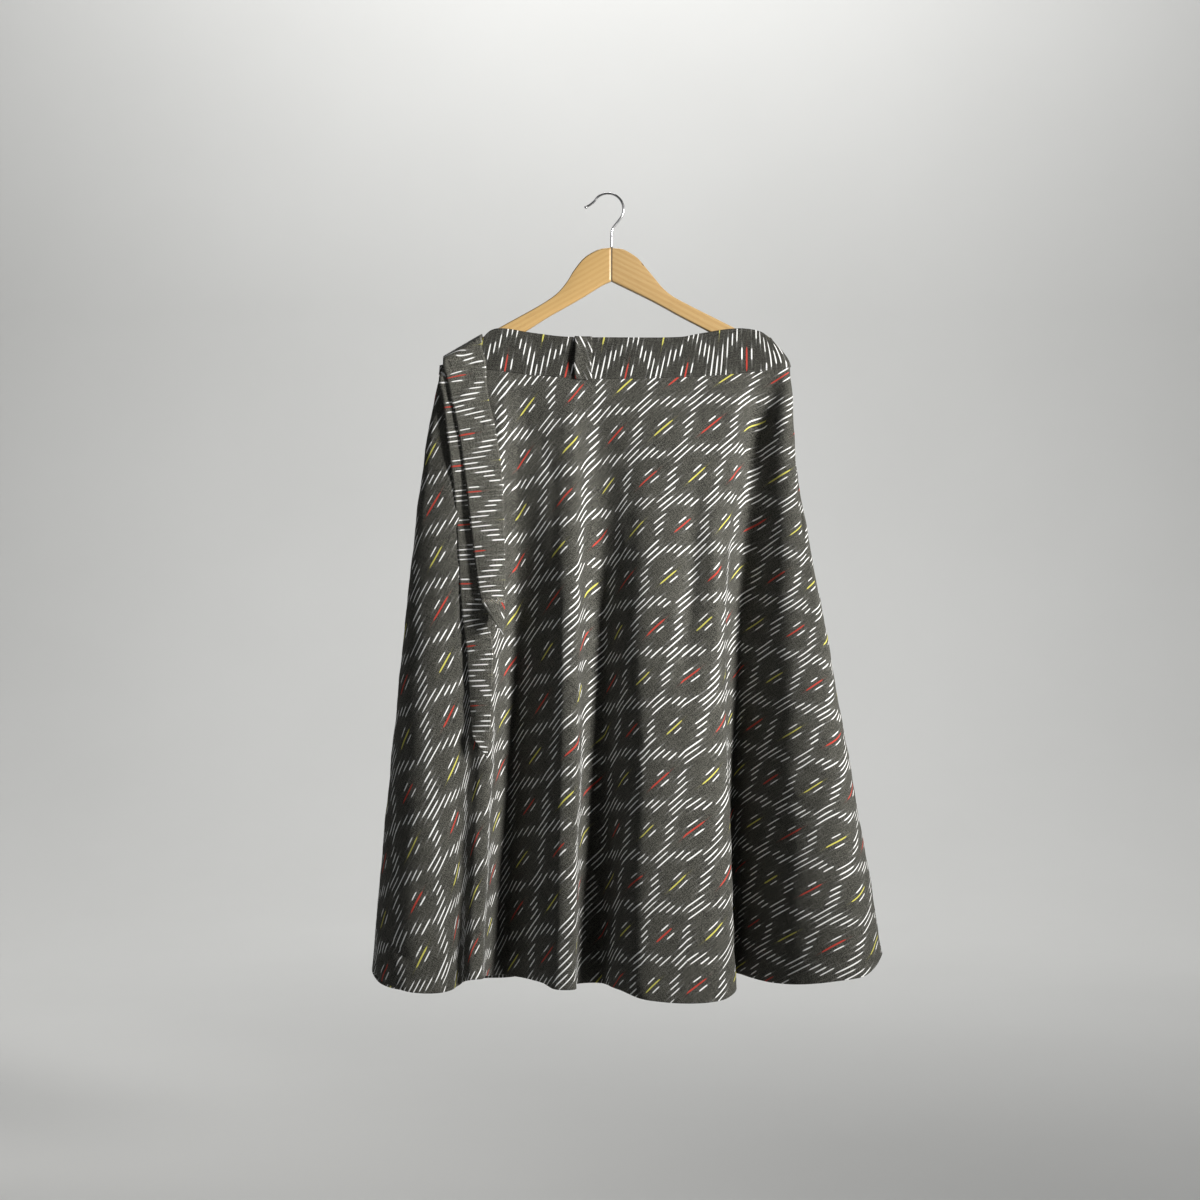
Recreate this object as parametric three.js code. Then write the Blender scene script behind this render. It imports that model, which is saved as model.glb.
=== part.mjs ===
// A wrap skirt hanging on a wooden hanger, in millimetres, +Z up, its front towards -Y.
// The origin is the inner top of the hanger's hook, where the whole thing hangs.
//
// The skirt is cut from one sector of a ring of cloth. A place in the cloth is its cut angle, in degrees from
// the middle of the front (plus towards the wearer's left, +X), and its drop from the waist seam, from 0 to 1
// at the hem. The cloth runs from the underlap's free edge, inside the back, round the left side, across the
// front, round the right side and across the back to the outer free edge.
import * as THREE from "three";

// ---------------------------------------------------------------- driving sizes
const CLOTH_WALL = 2.0;
const TIE_WALL = 1.6;
const SEAM_GAP = 0.3;

const WAIST_RADIUS = 573; // of the sector at the waist seam, so that a degree is 10 mm of waist
const LEFT_SEAM_CUT = -28; // front panel to underlap
const RIGHT_SEAM_CUT = 32; // front panel to back panel
const COLUMNS_PER_FOLD = 3;
const PANEL_ROWS = 14;
const BAND_ROWS = 3;

// The waistband in plan: a flat ring round the hanger, whose two back layers lie apart for the lower tie.
const RING = { left: -219, right: 229, middle: 5, front: -8.2, innerBack: 8.2, outerBack: 14.6 };

// How fast the folds open from the waist seam down: at once, then ever slower.
const FOLD_POWER = 0.68;
const FOLD_START = 0.03;


const FINER_ROWS_UP = 1.25; // how much closer the rows lie near the waist seam
const LEAN_ROUNDING = 1.6; // of the waistband's top, where it rolls in over an arm's end

// ---------------------------------------------------------------- colours and finishes
const charcoalCotton = new THREE.MeshStandardMaterial({ color: 0x56544d, roughness: 0.92, metalness: 0 });
const honeyWood = new THREE.MeshStandardMaterial({ color: 0xd9b47a, roughness: 0.45, metalness: 0 });
const brightSteel = new THREE.MeshStandardMaterial({ color: 0xb9babd, roughness: 0.25, metalness: 1 });

// A table of rows with named columns.
function table(columns, rows) {
  const names = columns.split(" ");
  return rows.map((row) => Object.fromEntries(names.map((name, i) => [name, row[i]])));
}

// ---------------------------------------------------------------- the folds at the hem
// One row for each crest, valley and lip: its cut angle and where it lies at the hem.
const FOLDS = table("cut x y z fold", [
  [-48.0, 120, 62, -1003, "underlap free edge"],
  [-46.9, 95, 44, -1003, "underlap valley 3"],
  [-43.9, 40, 88, -1003, "underlap crest 3"],
  [-40.8, -18, 44, -1003, "underlap valley 2"],
  [-37.7, -75, 88, -1004, "underlap crest 2"],
  [-34.7, -130, 46, -1008, "underlap valley 1"],
  [-31.7, -185, 86, -1018, "underlap crest 1"],
  [-30.0, -225, 84, -1030, "underlap crest 1, left"],
  [-28.0, -268, 60, -1028, "left seam"],
  [-25.9, -297, 20, -1012, "left turn"],
  [-23.8, -303, -20, -988, "left outline"],
  [-21.4, -285, -62, -998, "flute A, left"],
  [-19.5, -250, -90, -1005, "flute A, crest"],
  [-18.0, -218, -92, -1006, "flute A, crest"],
  [-16.8, -193, -84, -1003, "flute A, right lip"],
  [-15.6, -190, -71, -998, "groove"],
  [-14.3, -186, -90, -992, "flute B, left lip"],
  [-13.4, -171, -96, -989, "flute B, crest"],
  [-12.6, -156, -94, -988, "flute B, right lip"],
  [-9.0, -132, -2, -997, "valley B to C"],
  [-5.6, -88, -66, -997, "flute C, left lip"],
  [-4.1, -67, -95, -1001, "flute C, crest"],
  [-3.0, -45, -96, -1001, "flute C, right lip"],
  [-1.5, -42, -60, -1002, "flute C, undercut"],
  [0.4, -10, -20, -1005, "valley C to D"],
  [3.2, 11, -76, -1005, "flute D, left lip"],
  [4.9, 36, -110, -1010, "flute D, crest"],
  [8.2, 94, -120, -1014, "flute D, crest"],
  [10.1, 137, -112, -1011, "flute D, shoulder"],
  [11.4, 154, -88, -1004, "flute D, right lip"],
  [13.9, 147, -30, -1001, "flute D, undercut"],
  [16.6, 160, 34, -1001, "valley D to E"],
  [18.6, 180, -4, -1001, "flute E, foot of wall"],
  [20.6, 204, -42, -1001, "flute E, wall"],
  [22.7, 238, -80, -997, "flute E, left lip"],
  [24.4, 274, -97, -991, "flute E, crest"],
  [26.2, 316, -92, -984, "flute E, shoulder"],
  [27.9, 338, -56, -969, "right outline"],
  [29.9, 341, -9, -968, "right turn"],
  [32.0, 316, 35, -986, "right seam"],
  [34.1, 268, 66, -999, "back crest 1"],
  [37.0, 205, 62, -1003, "back valley 1"],
  [39.9, 150, 106, -1005, "back crest 2"],
  [42.8, 95, 62, -1003, "back valley 2"],
  [45.8, 40, 107, -1005, "back crest 3"],
  [48.9, -18, 62, -1003, "back valley 3"],
  [52.0, -75, 108, -1005, "back crest 4"],
  [55.0, -130, 64, -1003, "back valley 4"],
  [57.9, -185, 106, -1005, "back crest 5"],
  [60.0, -228, 103, -1004, "outer free edge"],
]);

// ---------------------------------------------------------------- the waistband's two edges
// seam and top are the heights of its lower and upper edge; lean is how far the top rolls in over an arm.
const BAND = table("cut seam top lean place", [
  [-48.0, -235, -184, 0, "underlap end"],
  [-36.0, -234, -187, 0, "underlap"],
  [-28.0, -232, -202, 0, "left seam, pressed down by the ties"],
  [-24.8, -231, -218, 0, "left corner, back"],
  [-22.9, -230, -219, 1, "left corner"],
  [-21.0, -229, -217, 0, "left corner, front"],
  [-18.0, -226, -203, 0, "under the ties"],
  [-16.3, -224, -178.5, 0, "beside the ties"],
  [-14.7, -224.5, -172.5, 0, "rise at the left arm"],
  [-11.0, -229.5, -177.5, 0, "front"],
  [-6.5, -233, -183, 0, "front"],
  [0.0, -235, -184, 0, "front middle"],
  [8.3, -233, -183.5, 0, "front"],
  [10.9, -231.5, -179, 0, "front"],
  [15.7, -228, -172.5, 0, "rise at the right arm"],
  [18.6, -225, -176, 2, "front"],
  [21.2, -221.5, -184, 15, "right corner, front"],
  [23.1, -219.5, -187, 27, "right corner"],
  [24.9, -221.5, -184, 15, "right corner, back"],
  [27.8, -226, -176, 2, "back"],
  [30.5, -229, -173, 0, "rise at the right arm"],
  [36.0, -232, -180, 0, "back"],
  [45.0, -235, -184, 0, "back middle"],
  [52.0, -233, -181, 0, "back"],
  [60.0, -231, -177, 0, "outer end"],
]);

// A smooth curve through the table's rows, read at a cut angle. Its slope at a row is that of its neighbours.
function readTable(rows, key, cut) {
  let i = 0;
  while (i < rows.length - 2 && cut > rows[i + 1].cut) i += 1;
  const slope = (k) => {
    const before = rows[Math.max(k - 1, 0)];
    const after = rows[Math.min(k + 1, rows.length - 1)];
    return (after[key] - before[key]) / (after.cut - before.cut);
  };
  const width = rows[i + 1].cut - rows[i].cut;
  const t = THREE.MathUtils.clamp((cut - rows[i].cut) / width, 0, 1);
  const rise = 3 * t * t - 2 * t * t * t;
  return (
    rows[i][key] * (1 - rise) +
    rows[i + 1][key] * rise +
    slope(i) * width * t * (1 - t) * (1 - t) -
    slope(i + 1) * width * t * t * (1 - t)
  );
}

// Where the waist seam lies in plan at a cut angle.
function ringPlace(cut) {
  const side = cut < 0 ? -1 : 1;
  const end = side < 0 ? RING.left : RING.right;
  const back = side < 0 ? RING.innerBack : RING.outerBack;
  const radius = (back - RING.front) / 2;
  const along = THREE.MathUtils.degToRad(Math.abs(cut)) * WAIST_RADIUS;
  const straight = Math.abs(end - RING.middle) - radius;
  const turn = (along - straight) / radius;
  if (turn <= 0) return { x: RING.middle + side * along, y: RING.front };
  const bendX = end - side * radius;
  if (turn < Math.PI) {
    return { x: bendX + side * radius * Math.sin(turn), y: RING.front + radius * (1 - Math.cos(turn)) };
  }
  return { x: bendX - side * (along - straight - Math.PI * radius), y: back };
}

// The share of its opening at the hem that a fold has at a drop.
function opening(drop) {
  const eased = (d) => Math.pow(Math.hypot(d, FOLD_START) - FOLD_START, FOLD_POWER);
  return eased(drop) / eased(1);
}

// ---------------------------------------------------------------- the columns of the cloth
const hemCurve = new THREE.CatmullRomCurve3(
  FOLDS.map((fold) => new THREE.Vector3(fold.x, fold.y, fold.z)),
  false,
  "centripetal",
);

// Each column has its cut angle and its place at the waist seam.
const columns = [];
for (let i = 0; i <= (FOLDS.length - 1) * COLUMNS_PER_FOLD; i += 1) {
  const fold = Math.min(Math.floor(i / COLUMNS_PER_FOLD), FOLDS.length - 2);
  const cut = THREE.MathUtils.lerp(FOLDS[fold].cut, FOLDS[fold + 1].cut, i / COLUMNS_PER_FOLD - fold);
  const waist = ringPlace(cut);
  columns.push({ cut, waist: new THREE.Vector3(waist.x, waist.y, readTable(BAND, "seam", cut)) });
}

// The place on the hem at a cut angle.
function hemPoint(cut) {
  let fold = 0;
  while (fold < FOLDS.length - 2 && cut > FOLDS[fold + 1].cut) fold += 1;
  const share = (cut - FOLDS[fold].cut) / (FOLDS[fold + 1].cut - FOLDS[fold].cut);
  return hemCurve.getPoint(THREE.MathUtils.clamp((fold + share) / (FOLDS.length - 1), 0, 1));
}

// The folds B to E lean: each starts near one cut angle at the waist and reaches its own at the drop until.
const DRIFTS = table("waist hem until", [
  [-14.3, -14.3, 1],
  [-13.3, -12.6, 0.9],
  [-11.0, -9.0, 0.9],
  [-7.5, -5.6, 0.9],
  [-5.8, -4.1, 0.9],
  [-4.5, -3.0, 0.9],
  [-3.2, -1.5, 0.9],
  [-1.2, 0.4, 0.9],
  [1.8, 3.2, 0.9],
  [4.3, 4.9, 0.9],
  [8.2, 8.2, 1],
  [17.6, 11.4, 0.55],
  [20.6, 20.6, 1],
]);

// The cut angle whose fold a column follows at a drop.
function foldFollowed(cut, drop) {
  const here = DRIFTS.map((drift) => {
    return THREE.MathUtils.lerp(drift.waist, drift.hem, THREE.MathUtils.smoothstep(drop, 0, drift.until));
  });
  if (cut <= here[0] || cut >= here[here.length - 1]) return cut;
  let i = 0;
  while (cut > here[i + 1]) i += 1;
  return THREE.MathUtils.mapLinear(cut, here[i], here[i + 1], DRIFTS[i].hem, DRIFTS[i + 1].hem);
}

function panelPoint(column, drop) {
  const open = opening(drop);
  const hem = hemPoint(foldFollowed(column.cut, drop));
  return new THREE.Vector3(
    THREE.MathUtils.lerp(column.waist.x, hem.x, open),
    THREE.MathUtils.lerp(column.waist.y, hem.y, open),
    THREE.MathUtils.lerp(column.waist.z, hem.z, drop),
  );
}

function bandPoint(column, rise) {
  const side = column.cut < 0 ? -1 : 1;
  const lean = readTable(BAND, "lean", column.cut) * Math.pow(rise, LEAN_ROUNDING);
  const top = readTable(BAND, "top", column.cut);
  return new THREE.Vector3(
    column.waist.x - side * lean,
    column.waist.y,
    THREE.MathUtils.lerp(column.waist.z, top, rise),
  );
}

// ---------------------------------------------------------------- walls of cloth
// The unit normal of a grid of points, rows of equal length, at each of them.
function gridNormals(grid) {
  return grid.map((row, r) =>
    row.map((_, c) => {
      const down = grid[Math.min(r + 1, grid.length - 1)][c].clone().sub(grid[Math.max(r - 1, 0)][c]);
      const along = row[Math.min(c + 1, row.length - 1)].clone().sub(row[Math.max(c - 1, 0)]);
      return along.cross(down).normalize();
    }),
  );
}

// Makes the normals of one row level, so that the edge there is cut square to its neighbour's.
function levelRow(normals, r) {
  normals[r].forEach((normal) => normal.setZ(0).normalize());
}

// Moves a grid's outermost rows or columns inwards, to leave half of a seam's gap.
function trim(grid, { top = false, bottom = false, left = false, right = false }) {
  const last = grid.length - 1;
  const pull = (point, inner) => point.addScaledVector(inner.clone().sub(point).normalize(), SEAM_GAP / 2);
  grid.forEach((row) => {
    if (left) pull(row[0], row[1]);
    if (right) pull(row[row.length - 1], row[row.length - 2]);
  });
  if (top) grid[0].forEach((point) => point.setZ(point.z - SEAM_GAP / 2));
  if (bottom) grid[last].forEach((point) => point.setZ(point.z + SEAM_GAP / 2));
}

// A closed wall of even thickness about a grid of points.
function wallGeometry(grid, normals, thickness) {
  const rows = grid.length;
  const width = grid[0].length;
  const positions = [];
  for (const side of [0.5, -0.5]) {
    grid.forEach((row, r) =>
      row.forEach((point, c) => {
        const place = point.clone().addScaledVector(normals[r][c], side * thickness);
        positions.push(place.x, place.y, place.z);
      }),
    );
  }
  const outer = (r, c) => r * width + c;
  const inner = (r, c) => rows * width + r * width + c;
  const index = [];
  const quad = (a, b, c, d) => index.push(a, b, c, a, c, d);
  for (let r = 0; r < rows - 1; r += 1) {
    for (let c = 0; c < width - 1; c += 1) {
      quad(outer(r, c), outer(r, c + 1), outer(r + 1, c + 1), outer(r + 1, c));
      quad(inner(r, c), inner(r + 1, c), inner(r + 1, c + 1), inner(r, c + 1));
    }
    quad(outer(r, 0), outer(r + 1, 0), inner(r + 1, 0), inner(r, 0));
    quad(outer(r, width - 1), inner(r, width - 1), inner(r + 1, width - 1), outer(r + 1, width - 1));
  }
  for (let c = 0; c < width - 1; c += 1) {
    quad(outer(0, c), inner(0, c), inner(0, c + 1), outer(0, c + 1));
    quad(outer(rows - 1, c), outer(rows - 1, c + 1), inner(rows - 1, c + 1), inner(rows - 1, c));
  }
  const geometry = new THREE.BufferGeometry();
  geometry.setAttribute("position", new THREE.Float32BufferAttribute(positions, 3));
  geometry.setIndex(facingOut(positions, index));
  geometry.computeVertexNormals();
  return geometry;
}

// Turns every triangle round if together they face inwards.
function facingOut(positions, index) {
  let volume = 0;
  const corner = (i) => new THREE.Vector3().fromArray(positions, 3 * i);
  for (let i = 0; i < index.length; i += 3) {
    volume += corner(index[i]).dot(corner(index[i + 1]).cross(corner(index[i + 2])));
  }
  if (volume > 0) return index;
  const turned = [];
  for (let i = 0; i < index.length; i += 3) {
    turned.push(index[i], index[i + 2], index[i + 1]);
  }
  return turned;
}

function piece(name, geometry, material) {
  const mesh = new THREE.Mesh(geometry, material);
  mesh.name = name;
  return mesh;
}

// ---------------------------------------------------------------- skirt panels and waistband
// The grids span the whole cloth, and a piece takes its columns, so that neighbours match at the seams.
const panelGrid = [];
for (let r = 0; r <= PANEL_ROWS; r += 1) {
  const drop = Math.pow(r / PANEL_ROWS, FINER_ROWS_UP);
  panelGrid.push(columns.map((column) => panelPoint(column, drop)));
}
const bandGrid = [];
for (let r = 0; r <= BAND_ROWS; r += 1) {
  bandGrid.push(columns.map((column) => bandPoint(column, 1 - r / BAND_ROWS)));
}
const panelNormals = gridNormals(panelGrid);
const bandNormals = gridNormals(bandGrid);
levelRow(panelNormals, 0);
levelRow(bandNormals, BAND_ROWS);

function columnAt(cut) {
  return columns.findIndex((column) => Math.abs(column.cut - cut) < 1e-6);
}

function clothPiece(name, wholeGrid, wholeNormals, fromCut, toCut, edges) {
  const from = columnAt(fromCut);
  const to = columnAt(toCut) + 1;
  const grid = wholeGrid.map((row) => row.slice(from, to).map((point) => point.clone()));
  const normals = wholeNormals.map((row) => row.slice(from, to));
  trim(grid, edges);
  return piece(name, wallGeometry(grid, normals, CLOTH_WALL), charcoalCotton);
}

const FIRST_CUT = FOLDS[0].cut;
const LAST_CUT = FOLDS[FOLDS.length - 1].cut;
const SPANS = table("suffix from to left right", [
  ["underlap", FIRST_CUT, LEFT_SEAM_CUT, false, true],
  ["front", LEFT_SEAM_CUT, RIGHT_SEAM_CUT, true, true],
  ["back", RIGHT_SEAM_CUT, LAST_CUT, true, false],
]);

const skirt = new THREE.Group();
for (const span of SPANS) {
  const panelEdges = { left: span.left, right: span.right, top: true };
  const bandEdges = { left: span.left, right: span.right, bottom: true };
  skirt.add(
    clothPiece(span.suffix + "_panel", panelGrid, panelNormals, span.from, span.to, panelEdges),
    clothPiece("waistband_" + span.suffix, bandGrid, bandNormals, span.from, span.to, bandEdges),
  );
}

// ---------------------------------------------------------------- belt loop
// A strip over the band's front, made from the band's own points moved out.
// It stands off the band most in the middle of its length, and a little at its foot.
const LOOP = { left: -46.3, right: -24.5, stand: 3, footStand: 1, below: 3.5, above: 1.2 };
const LOOP_ROWS = 8;
const LOOP_COLUMNS = 2;

function beltLoop() {
  const clear = CLOTH_WALL / 2 + SEAM_GAP + TIE_WALL / 2;
  const grid = [];
  for (let r = 0; r <= LOOP_ROWS; r += 1) {
    const share = r / LOOP_ROWS;
    const row = [];
    for (let c = 0; c <= LOOP_COLUMNS; c += 1) {
      const x = THREE.MathUtils.lerp(LOOP.left, LOOP.right, c / LOOP_COLUMNS);
      const cut = (x - RING.middle) / THREE.MathUtils.degToRad(WAIST_RADIUS);
      const top = readTable(BAND, "top", cut) + LOOP.above;
      const foot = readTable(BAND, "seam", cut) - LOOP.below;
      const stand = clear + LOOP.stand * Math.sin(Math.PI * share) + LOOP.footStand * share;
      row.push(new THREE.Vector3(x, RING.front - stand, THREE.MathUtils.lerp(top, foot, share)));
    }
    grid.push(row);
  }
  return piece("belt_loop", wallGeometry(grid, gridNormals(grid), TIE_WALL), charcoalCotton);
}
skirt.add(beltLoop());

// ---------------------------------------------------------------- hanger
// The halves' outlines from the middle out, in the plane y = 0: upper edge, then lower edge, down to the
// arm's straight run, which ends at reach.
const ARM_THICKNESS = 12;
const ARM_BEVEL = 3;
const ARMS = {
  left: {
    reach: 211,
    upper: table("out z", [
      [0, -68.4], [11.8, -69.4], [24.6, -74.8], [35.3, -82.4], [48, -98.3],
      [56, -111.5], [67.8, -125.7], [84.5, -138], [142, -170.2], [211, -210],
    ]),
    lower: table("out z", [
      [0, -111.4], [11.8, -117], [34.3, -131], [53.9, -142.3], [83.3, -159], [107.8, -174.6], [211, -233],
    ]),
  },
  right: {
    reach: 207,
    upper: table("out z", [
      [0, -68.4], [14.5, -70.1], [24.8, -75.3], [35, -82.7], [44, -93.5],
      [54.5, -106.1], [65.9, -119.8], [77.3, -129.5], [100.2, -142.1], [157.3, -170.9], [207, -197.6],
    ]),
    lower: table("out z", [
      [0, -111.4], [26.9, -124.4], [54.5, -138.1], [88.8, -156.9], [122.9, -174.6], [207, -218.4],
    ]),
  },
};
const ARM_STEPS = 26;
// The rounded tip: sections with a share of the arm's height, so far back from its end.
const ARM_TIP = table("share back", [[1, 6.5], [0.85, 3], [0.55, 0]]);

// A half is a row of eight-sided sections between its upper and its lower edge, from the middle out.
function hangerHalf(name, side, arm) {
  const edgeCurve = (rows) =>
    new THREE.CatmullRomCurve3(rows.map((row) => new THREE.Vector3(row.out, 0, row.z)), false, "centripetal");
  const upper = edgeCurve(arm.upper);
  const lower = edgeCurve(arm.lower);
  const stations = [];
  for (let i = 0; i <= ARM_STEPS; i += 1) {
    stations.push([upper.getPointAt(i / ARM_STEPS), lower.getPointAt(i / ARM_STEPS)]);
  }
  const [tipTop, tipFoot] = stations.pop();
  const outwards = tipTop.clone().sub(stations[ARM_STEPS - 1][0]).normalize();
  for (const round of ARM_TIP) {
    const inset = (1 - round.share) / 2;
    const ends = [tipTop.clone().lerp(tipFoot, inset), tipFoot.clone().lerp(tipTop, inset)];
    stations.push(ends.map((end) => end.addScaledVector(outwards, -round.back)));
  }
  const half = ARM_THICKNESS / 2;
  const positions = [];
  for (const [top, foot] of stations) {
    const down = foot.clone().sub(top).normalize().multiplyScalar(ARM_BEVEL);
    const innerTop = top.clone().add(down);
    const innerFoot = foot.clone().sub(down);
    const section = [
      [top, ARM_BEVEL - half], [innerTop, -half], [innerFoot, -half], [foot, ARM_BEVEL - half],
      [foot, half - ARM_BEVEL], [innerFoot, half], [innerTop, half], [top, half - ARM_BEVEL],
    ];
    section.forEach(([point, y]) => positions.push(side * (point.x + SEAM_GAP / 2), y, point.z));
  }
  const geometry = new THREE.BufferGeometry();
  geometry.setAttribute("position", new THREE.Float32BufferAttribute(positions, 3));
  geometry.setIndex(facingOut(positions, loftIndex(stations.length, 8)));
  geometry.computeVertexNormals();
  return piece(name, geometry, honeyWood);
}

// The triangles of a row of closed sections with flat ends.
function loftIndex(sections, sides) {
  const index = [];
  for (let ring = 0; ring < sections - 1; ring += 1) {
    for (let i = 0; i < sides; i += 1) {
      const a = ring * sides + i;
      const b = ring * sides + ((i + 1) % sides);
      index.push(a, b, b + sides, a, b + sides, a + sides);
    }
  }
  const last = (sections - 1) * sides;
  for (let i = 1; i < sides - 1; i += 1) {
    index.push(0, i + 1, i, last, last + i, last + i + 1);
  }
  return index;
}

// ---------------------------------------------------------------- hook
const WIRE_RADIUS = 1.5;
const WIRE_SIDES = 10;
const HOOK_STEPS = 44;
const HOOK_EYE = { x: -4, z: -18.5, radius: 20 };
const NECK_TOP = -68.1;

const NECK = table("x z", [[0.4, NECK_TOP], [0.6, -56], [1.6, -45], [6.6, -37.3]]);
const EYE_ARC = { from: -40, to: 150, step: 19 }; // degrees, turning from the neck over the top
const HOOK_TIP = table("x z", [[-26.4, -12.8], [-30.5, -15.2]]);

function hookCurve() {
  const eye = [];
  for (let degrees = EYE_ARC.from; degrees <= EYE_ARC.to; degrees += EYE_ARC.step) {
    const angle = THREE.MathUtils.degToRad(degrees);
    const x = HOOK_EYE.x + HOOK_EYE.radius * Math.cos(angle);
    eye.push({ x, z: HOOK_EYE.z + HOOK_EYE.radius * Math.sin(angle) });
  }
  const points = [...NECK, ...eye, ...HOOK_TIP].map((place) => new THREE.Vector3(place.x, 0, place.z));
  return new THREE.CatmullRomCurve3(points, false, "centripetal");
}

function hangerHook() {
  const section = new THREE.Shape();
  for (let i = 0; i < WIRE_SIDES; i += 1) {
    const angle = (2 * Math.PI * i) / WIRE_SIDES;
    section[i ? "lineTo" : "moveTo"](WIRE_RADIUS * Math.cos(angle), WIRE_RADIUS * Math.sin(angle));
  }
  section.closePath();
  const geometry = new THREE.ExtrudeGeometry(section, { steps: HOOK_STEPS, extrudePath: hookCurve() });
  return piece("hanger_hook", geometry, brightSteel);
}

const hanger = new THREE.Group();
hanger.add(hangerHalf("hanger_left", -1, ARMS.left), hangerHalf("hanger_right", 1, ARMS.right), hangerHook());

// ---------------------------------------------------------------- ties
// A tie is a strip whose cross-lines run from its left to its right edge as it hangs in front. It starts on
// the back, from the band's end, turns up over the left arm along the saddle, and hangs down the front.
const SADDLE_RIGHT_X = -165;
const SADDLE_LEFT_X = -214;
const TIE_COLUMNS = 2;
const TIE_STEPS_PER_ROW = 2;

const TIES = {
  tie_lower: {
    saddle: table("y lift", [[11.4, -11], [9.6, -2.6], [0, 2.2], [-9.6, -2.6], [-11.6, -11]]),
    back: table("lx lz rx rz", [
      [27, -230, 27, -182], [-60, -231, -60, -183], [-134, -232, -134, -184],
      [-162, -235, -150, -187], [-188, -238, -157, -193], [-208, -235, -162, -198],
    ]),
    front: table("lx ly lz rx ry rz", [
      [-219.5, -12.4, -236, -166, -12.4, -216],
      [-214.5, -18, -262, -166, -18, -256],
      [-209.5, -26, -301, -162, -26, -299],
      [-203.5, -33, -346, -156, -33, -346],
      [-198.4, -38, -391, -151, -41, -391],
      [-193.3, -48, -467, -147, -52.5, -467],
      [-190.7, -53, -505, -149, -58, -505],
      [-187, -57.5, -540, -154.5, -62, -540],
      [-182, -62, -578, -148.5, -67, -578],
      [-178, -68, -630, -149.5, -73.5, -630],
      [-174, -73.5, -680, -152, -80, -690],
      [-172.8, -75, -691, -155, -83, -715],
    ]),
    cupping: 2,
  },
  tie_upper: {
    saddle: table("y lift", [[14.6, -11], [12, -0.4], [0, 4.8], [-12, -0.4], [-14.6, -11]]),
    back: table("lx lz rx rz", [
      [-134.9, -229, -134.9, -180], [-150, -232, -146, -183], [-166, -236, -152, -188],
      [-190, -239, -158, -194], [-209, -236, -162, -198],
    ]),
    front: table("lx ly lz rx ry rz", [
      [-210, -15.4, -236, -160, -15.4, -214],
      [-204, -21, -260, -157.5, -21, -252],
      [-194.6, -29, -302.6, -147, -29, -300],
      [-185.6, -37.5, -360, -138, -38.5, -358],
      [-179.7, -44.5, -406, -135.7, -47, -406],
      [-172.8, -53, -460, -133.5, -56.5, -460],
      [-165.5, -61.5, -508, -133, -66, -520],
      [-162, -66, -524, -134.4, -88, -562],
    ]),
    cupping: 3,
  },
};

// The height of the left arm's upper edge at x, on its straight run.
function leftArmTop(x) {
  const [inner, outer] = ARMS.left.upper.slice(-2);
  return THREE.MathUtils.mapLinear(-x, inner.out, outer.out, inner.z, outer.z);
}

function tieStrip(name, tie) {
  const edges = [];
  for (const row of tie.back) {
    const y = tie.saddle[0].y;
    edges.push([new THREE.Vector3(row.lx, y, row.lz), new THREE.Vector3(row.rx, y, row.rz)]);
  }
  for (const row of tie.saddle) {
    edges.push([
      new THREE.Vector3(SADDLE_LEFT_X, row.y, leftArmTop(SADDLE_LEFT_X) + row.lift),
      new THREE.Vector3(SADDLE_RIGHT_X, row.y, leftArmTop(SADDLE_RIGHT_X) + row.lift),
    ]);
  }
  for (const row of tie.front) {
    edges.push([new THREE.Vector3(row.lx, row.ly, row.lz), new THREE.Vector3(row.rx, row.ry, row.rz)]);
  }
  const curves = [0, 1].map((side) => {
    const points = edges.map((edge) => edge[side]);
    return new THREE.CatmullRomCurve3(points, false, "centripetal");
  });
  const steps = (edges.length - 1) * TIE_STEPS_PER_ROW;
  const frontStart = tie.back.length + tie.saddle.length;
  const grid = [];
  for (let i = 0; i <= steps; i += 1) {
    const [left, right] = curves.map((curve) => curve.getPoint(i / steps));
    const hanging = THREE.MathUtils.smoothstep(i / TIE_STEPS_PER_ROW, frontStart, edges.length - 1);
    const row = [];
    for (let c = 0; c <= TIE_COLUMNS; c += 1) {
      const share = c / TIE_COLUMNS;
      const point = left.clone().lerp(right, share);
      point.y -= tie.cupping * hanging * Math.sin(Math.PI * share);
      row.push(point);
    }
    grid.push(row);
  }
  return piece(name, wallGeometry(grid, gridNormals(grid), TIE_WALL), charcoalCotton);
}

for (const [name, tie] of Object.entries(TIES)) {
  skirt.add(tieStrip(name, tie));
}

const skirtOnHanger = new THREE.Group();
skirtOnHanger.add(skirt, hanger);

export default skirtOnHanger;
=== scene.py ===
"""A wrap skirt of dashed ikat cotton on a wooden hanger: the looks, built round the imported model.

The origin is the inner top of the hanger's hook, +Z up, the skirt's front towards -Y. Sizes are in
millimetres until a mesh is made, and MM turns them into Blender's metres. A place in the cloth is its cut
angle, in degrees from the middle of the front, and its drop from the waist seam, 0, to the hem, 1.
"""

import math
from functools import partialmethod

import bpy
import numpy as np
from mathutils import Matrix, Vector


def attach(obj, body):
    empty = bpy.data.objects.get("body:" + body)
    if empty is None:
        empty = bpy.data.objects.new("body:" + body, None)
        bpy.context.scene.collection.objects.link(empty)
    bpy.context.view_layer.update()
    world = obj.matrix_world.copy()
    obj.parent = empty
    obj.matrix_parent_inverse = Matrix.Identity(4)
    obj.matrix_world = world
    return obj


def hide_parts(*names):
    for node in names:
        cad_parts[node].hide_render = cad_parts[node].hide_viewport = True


MM = 0.001

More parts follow.
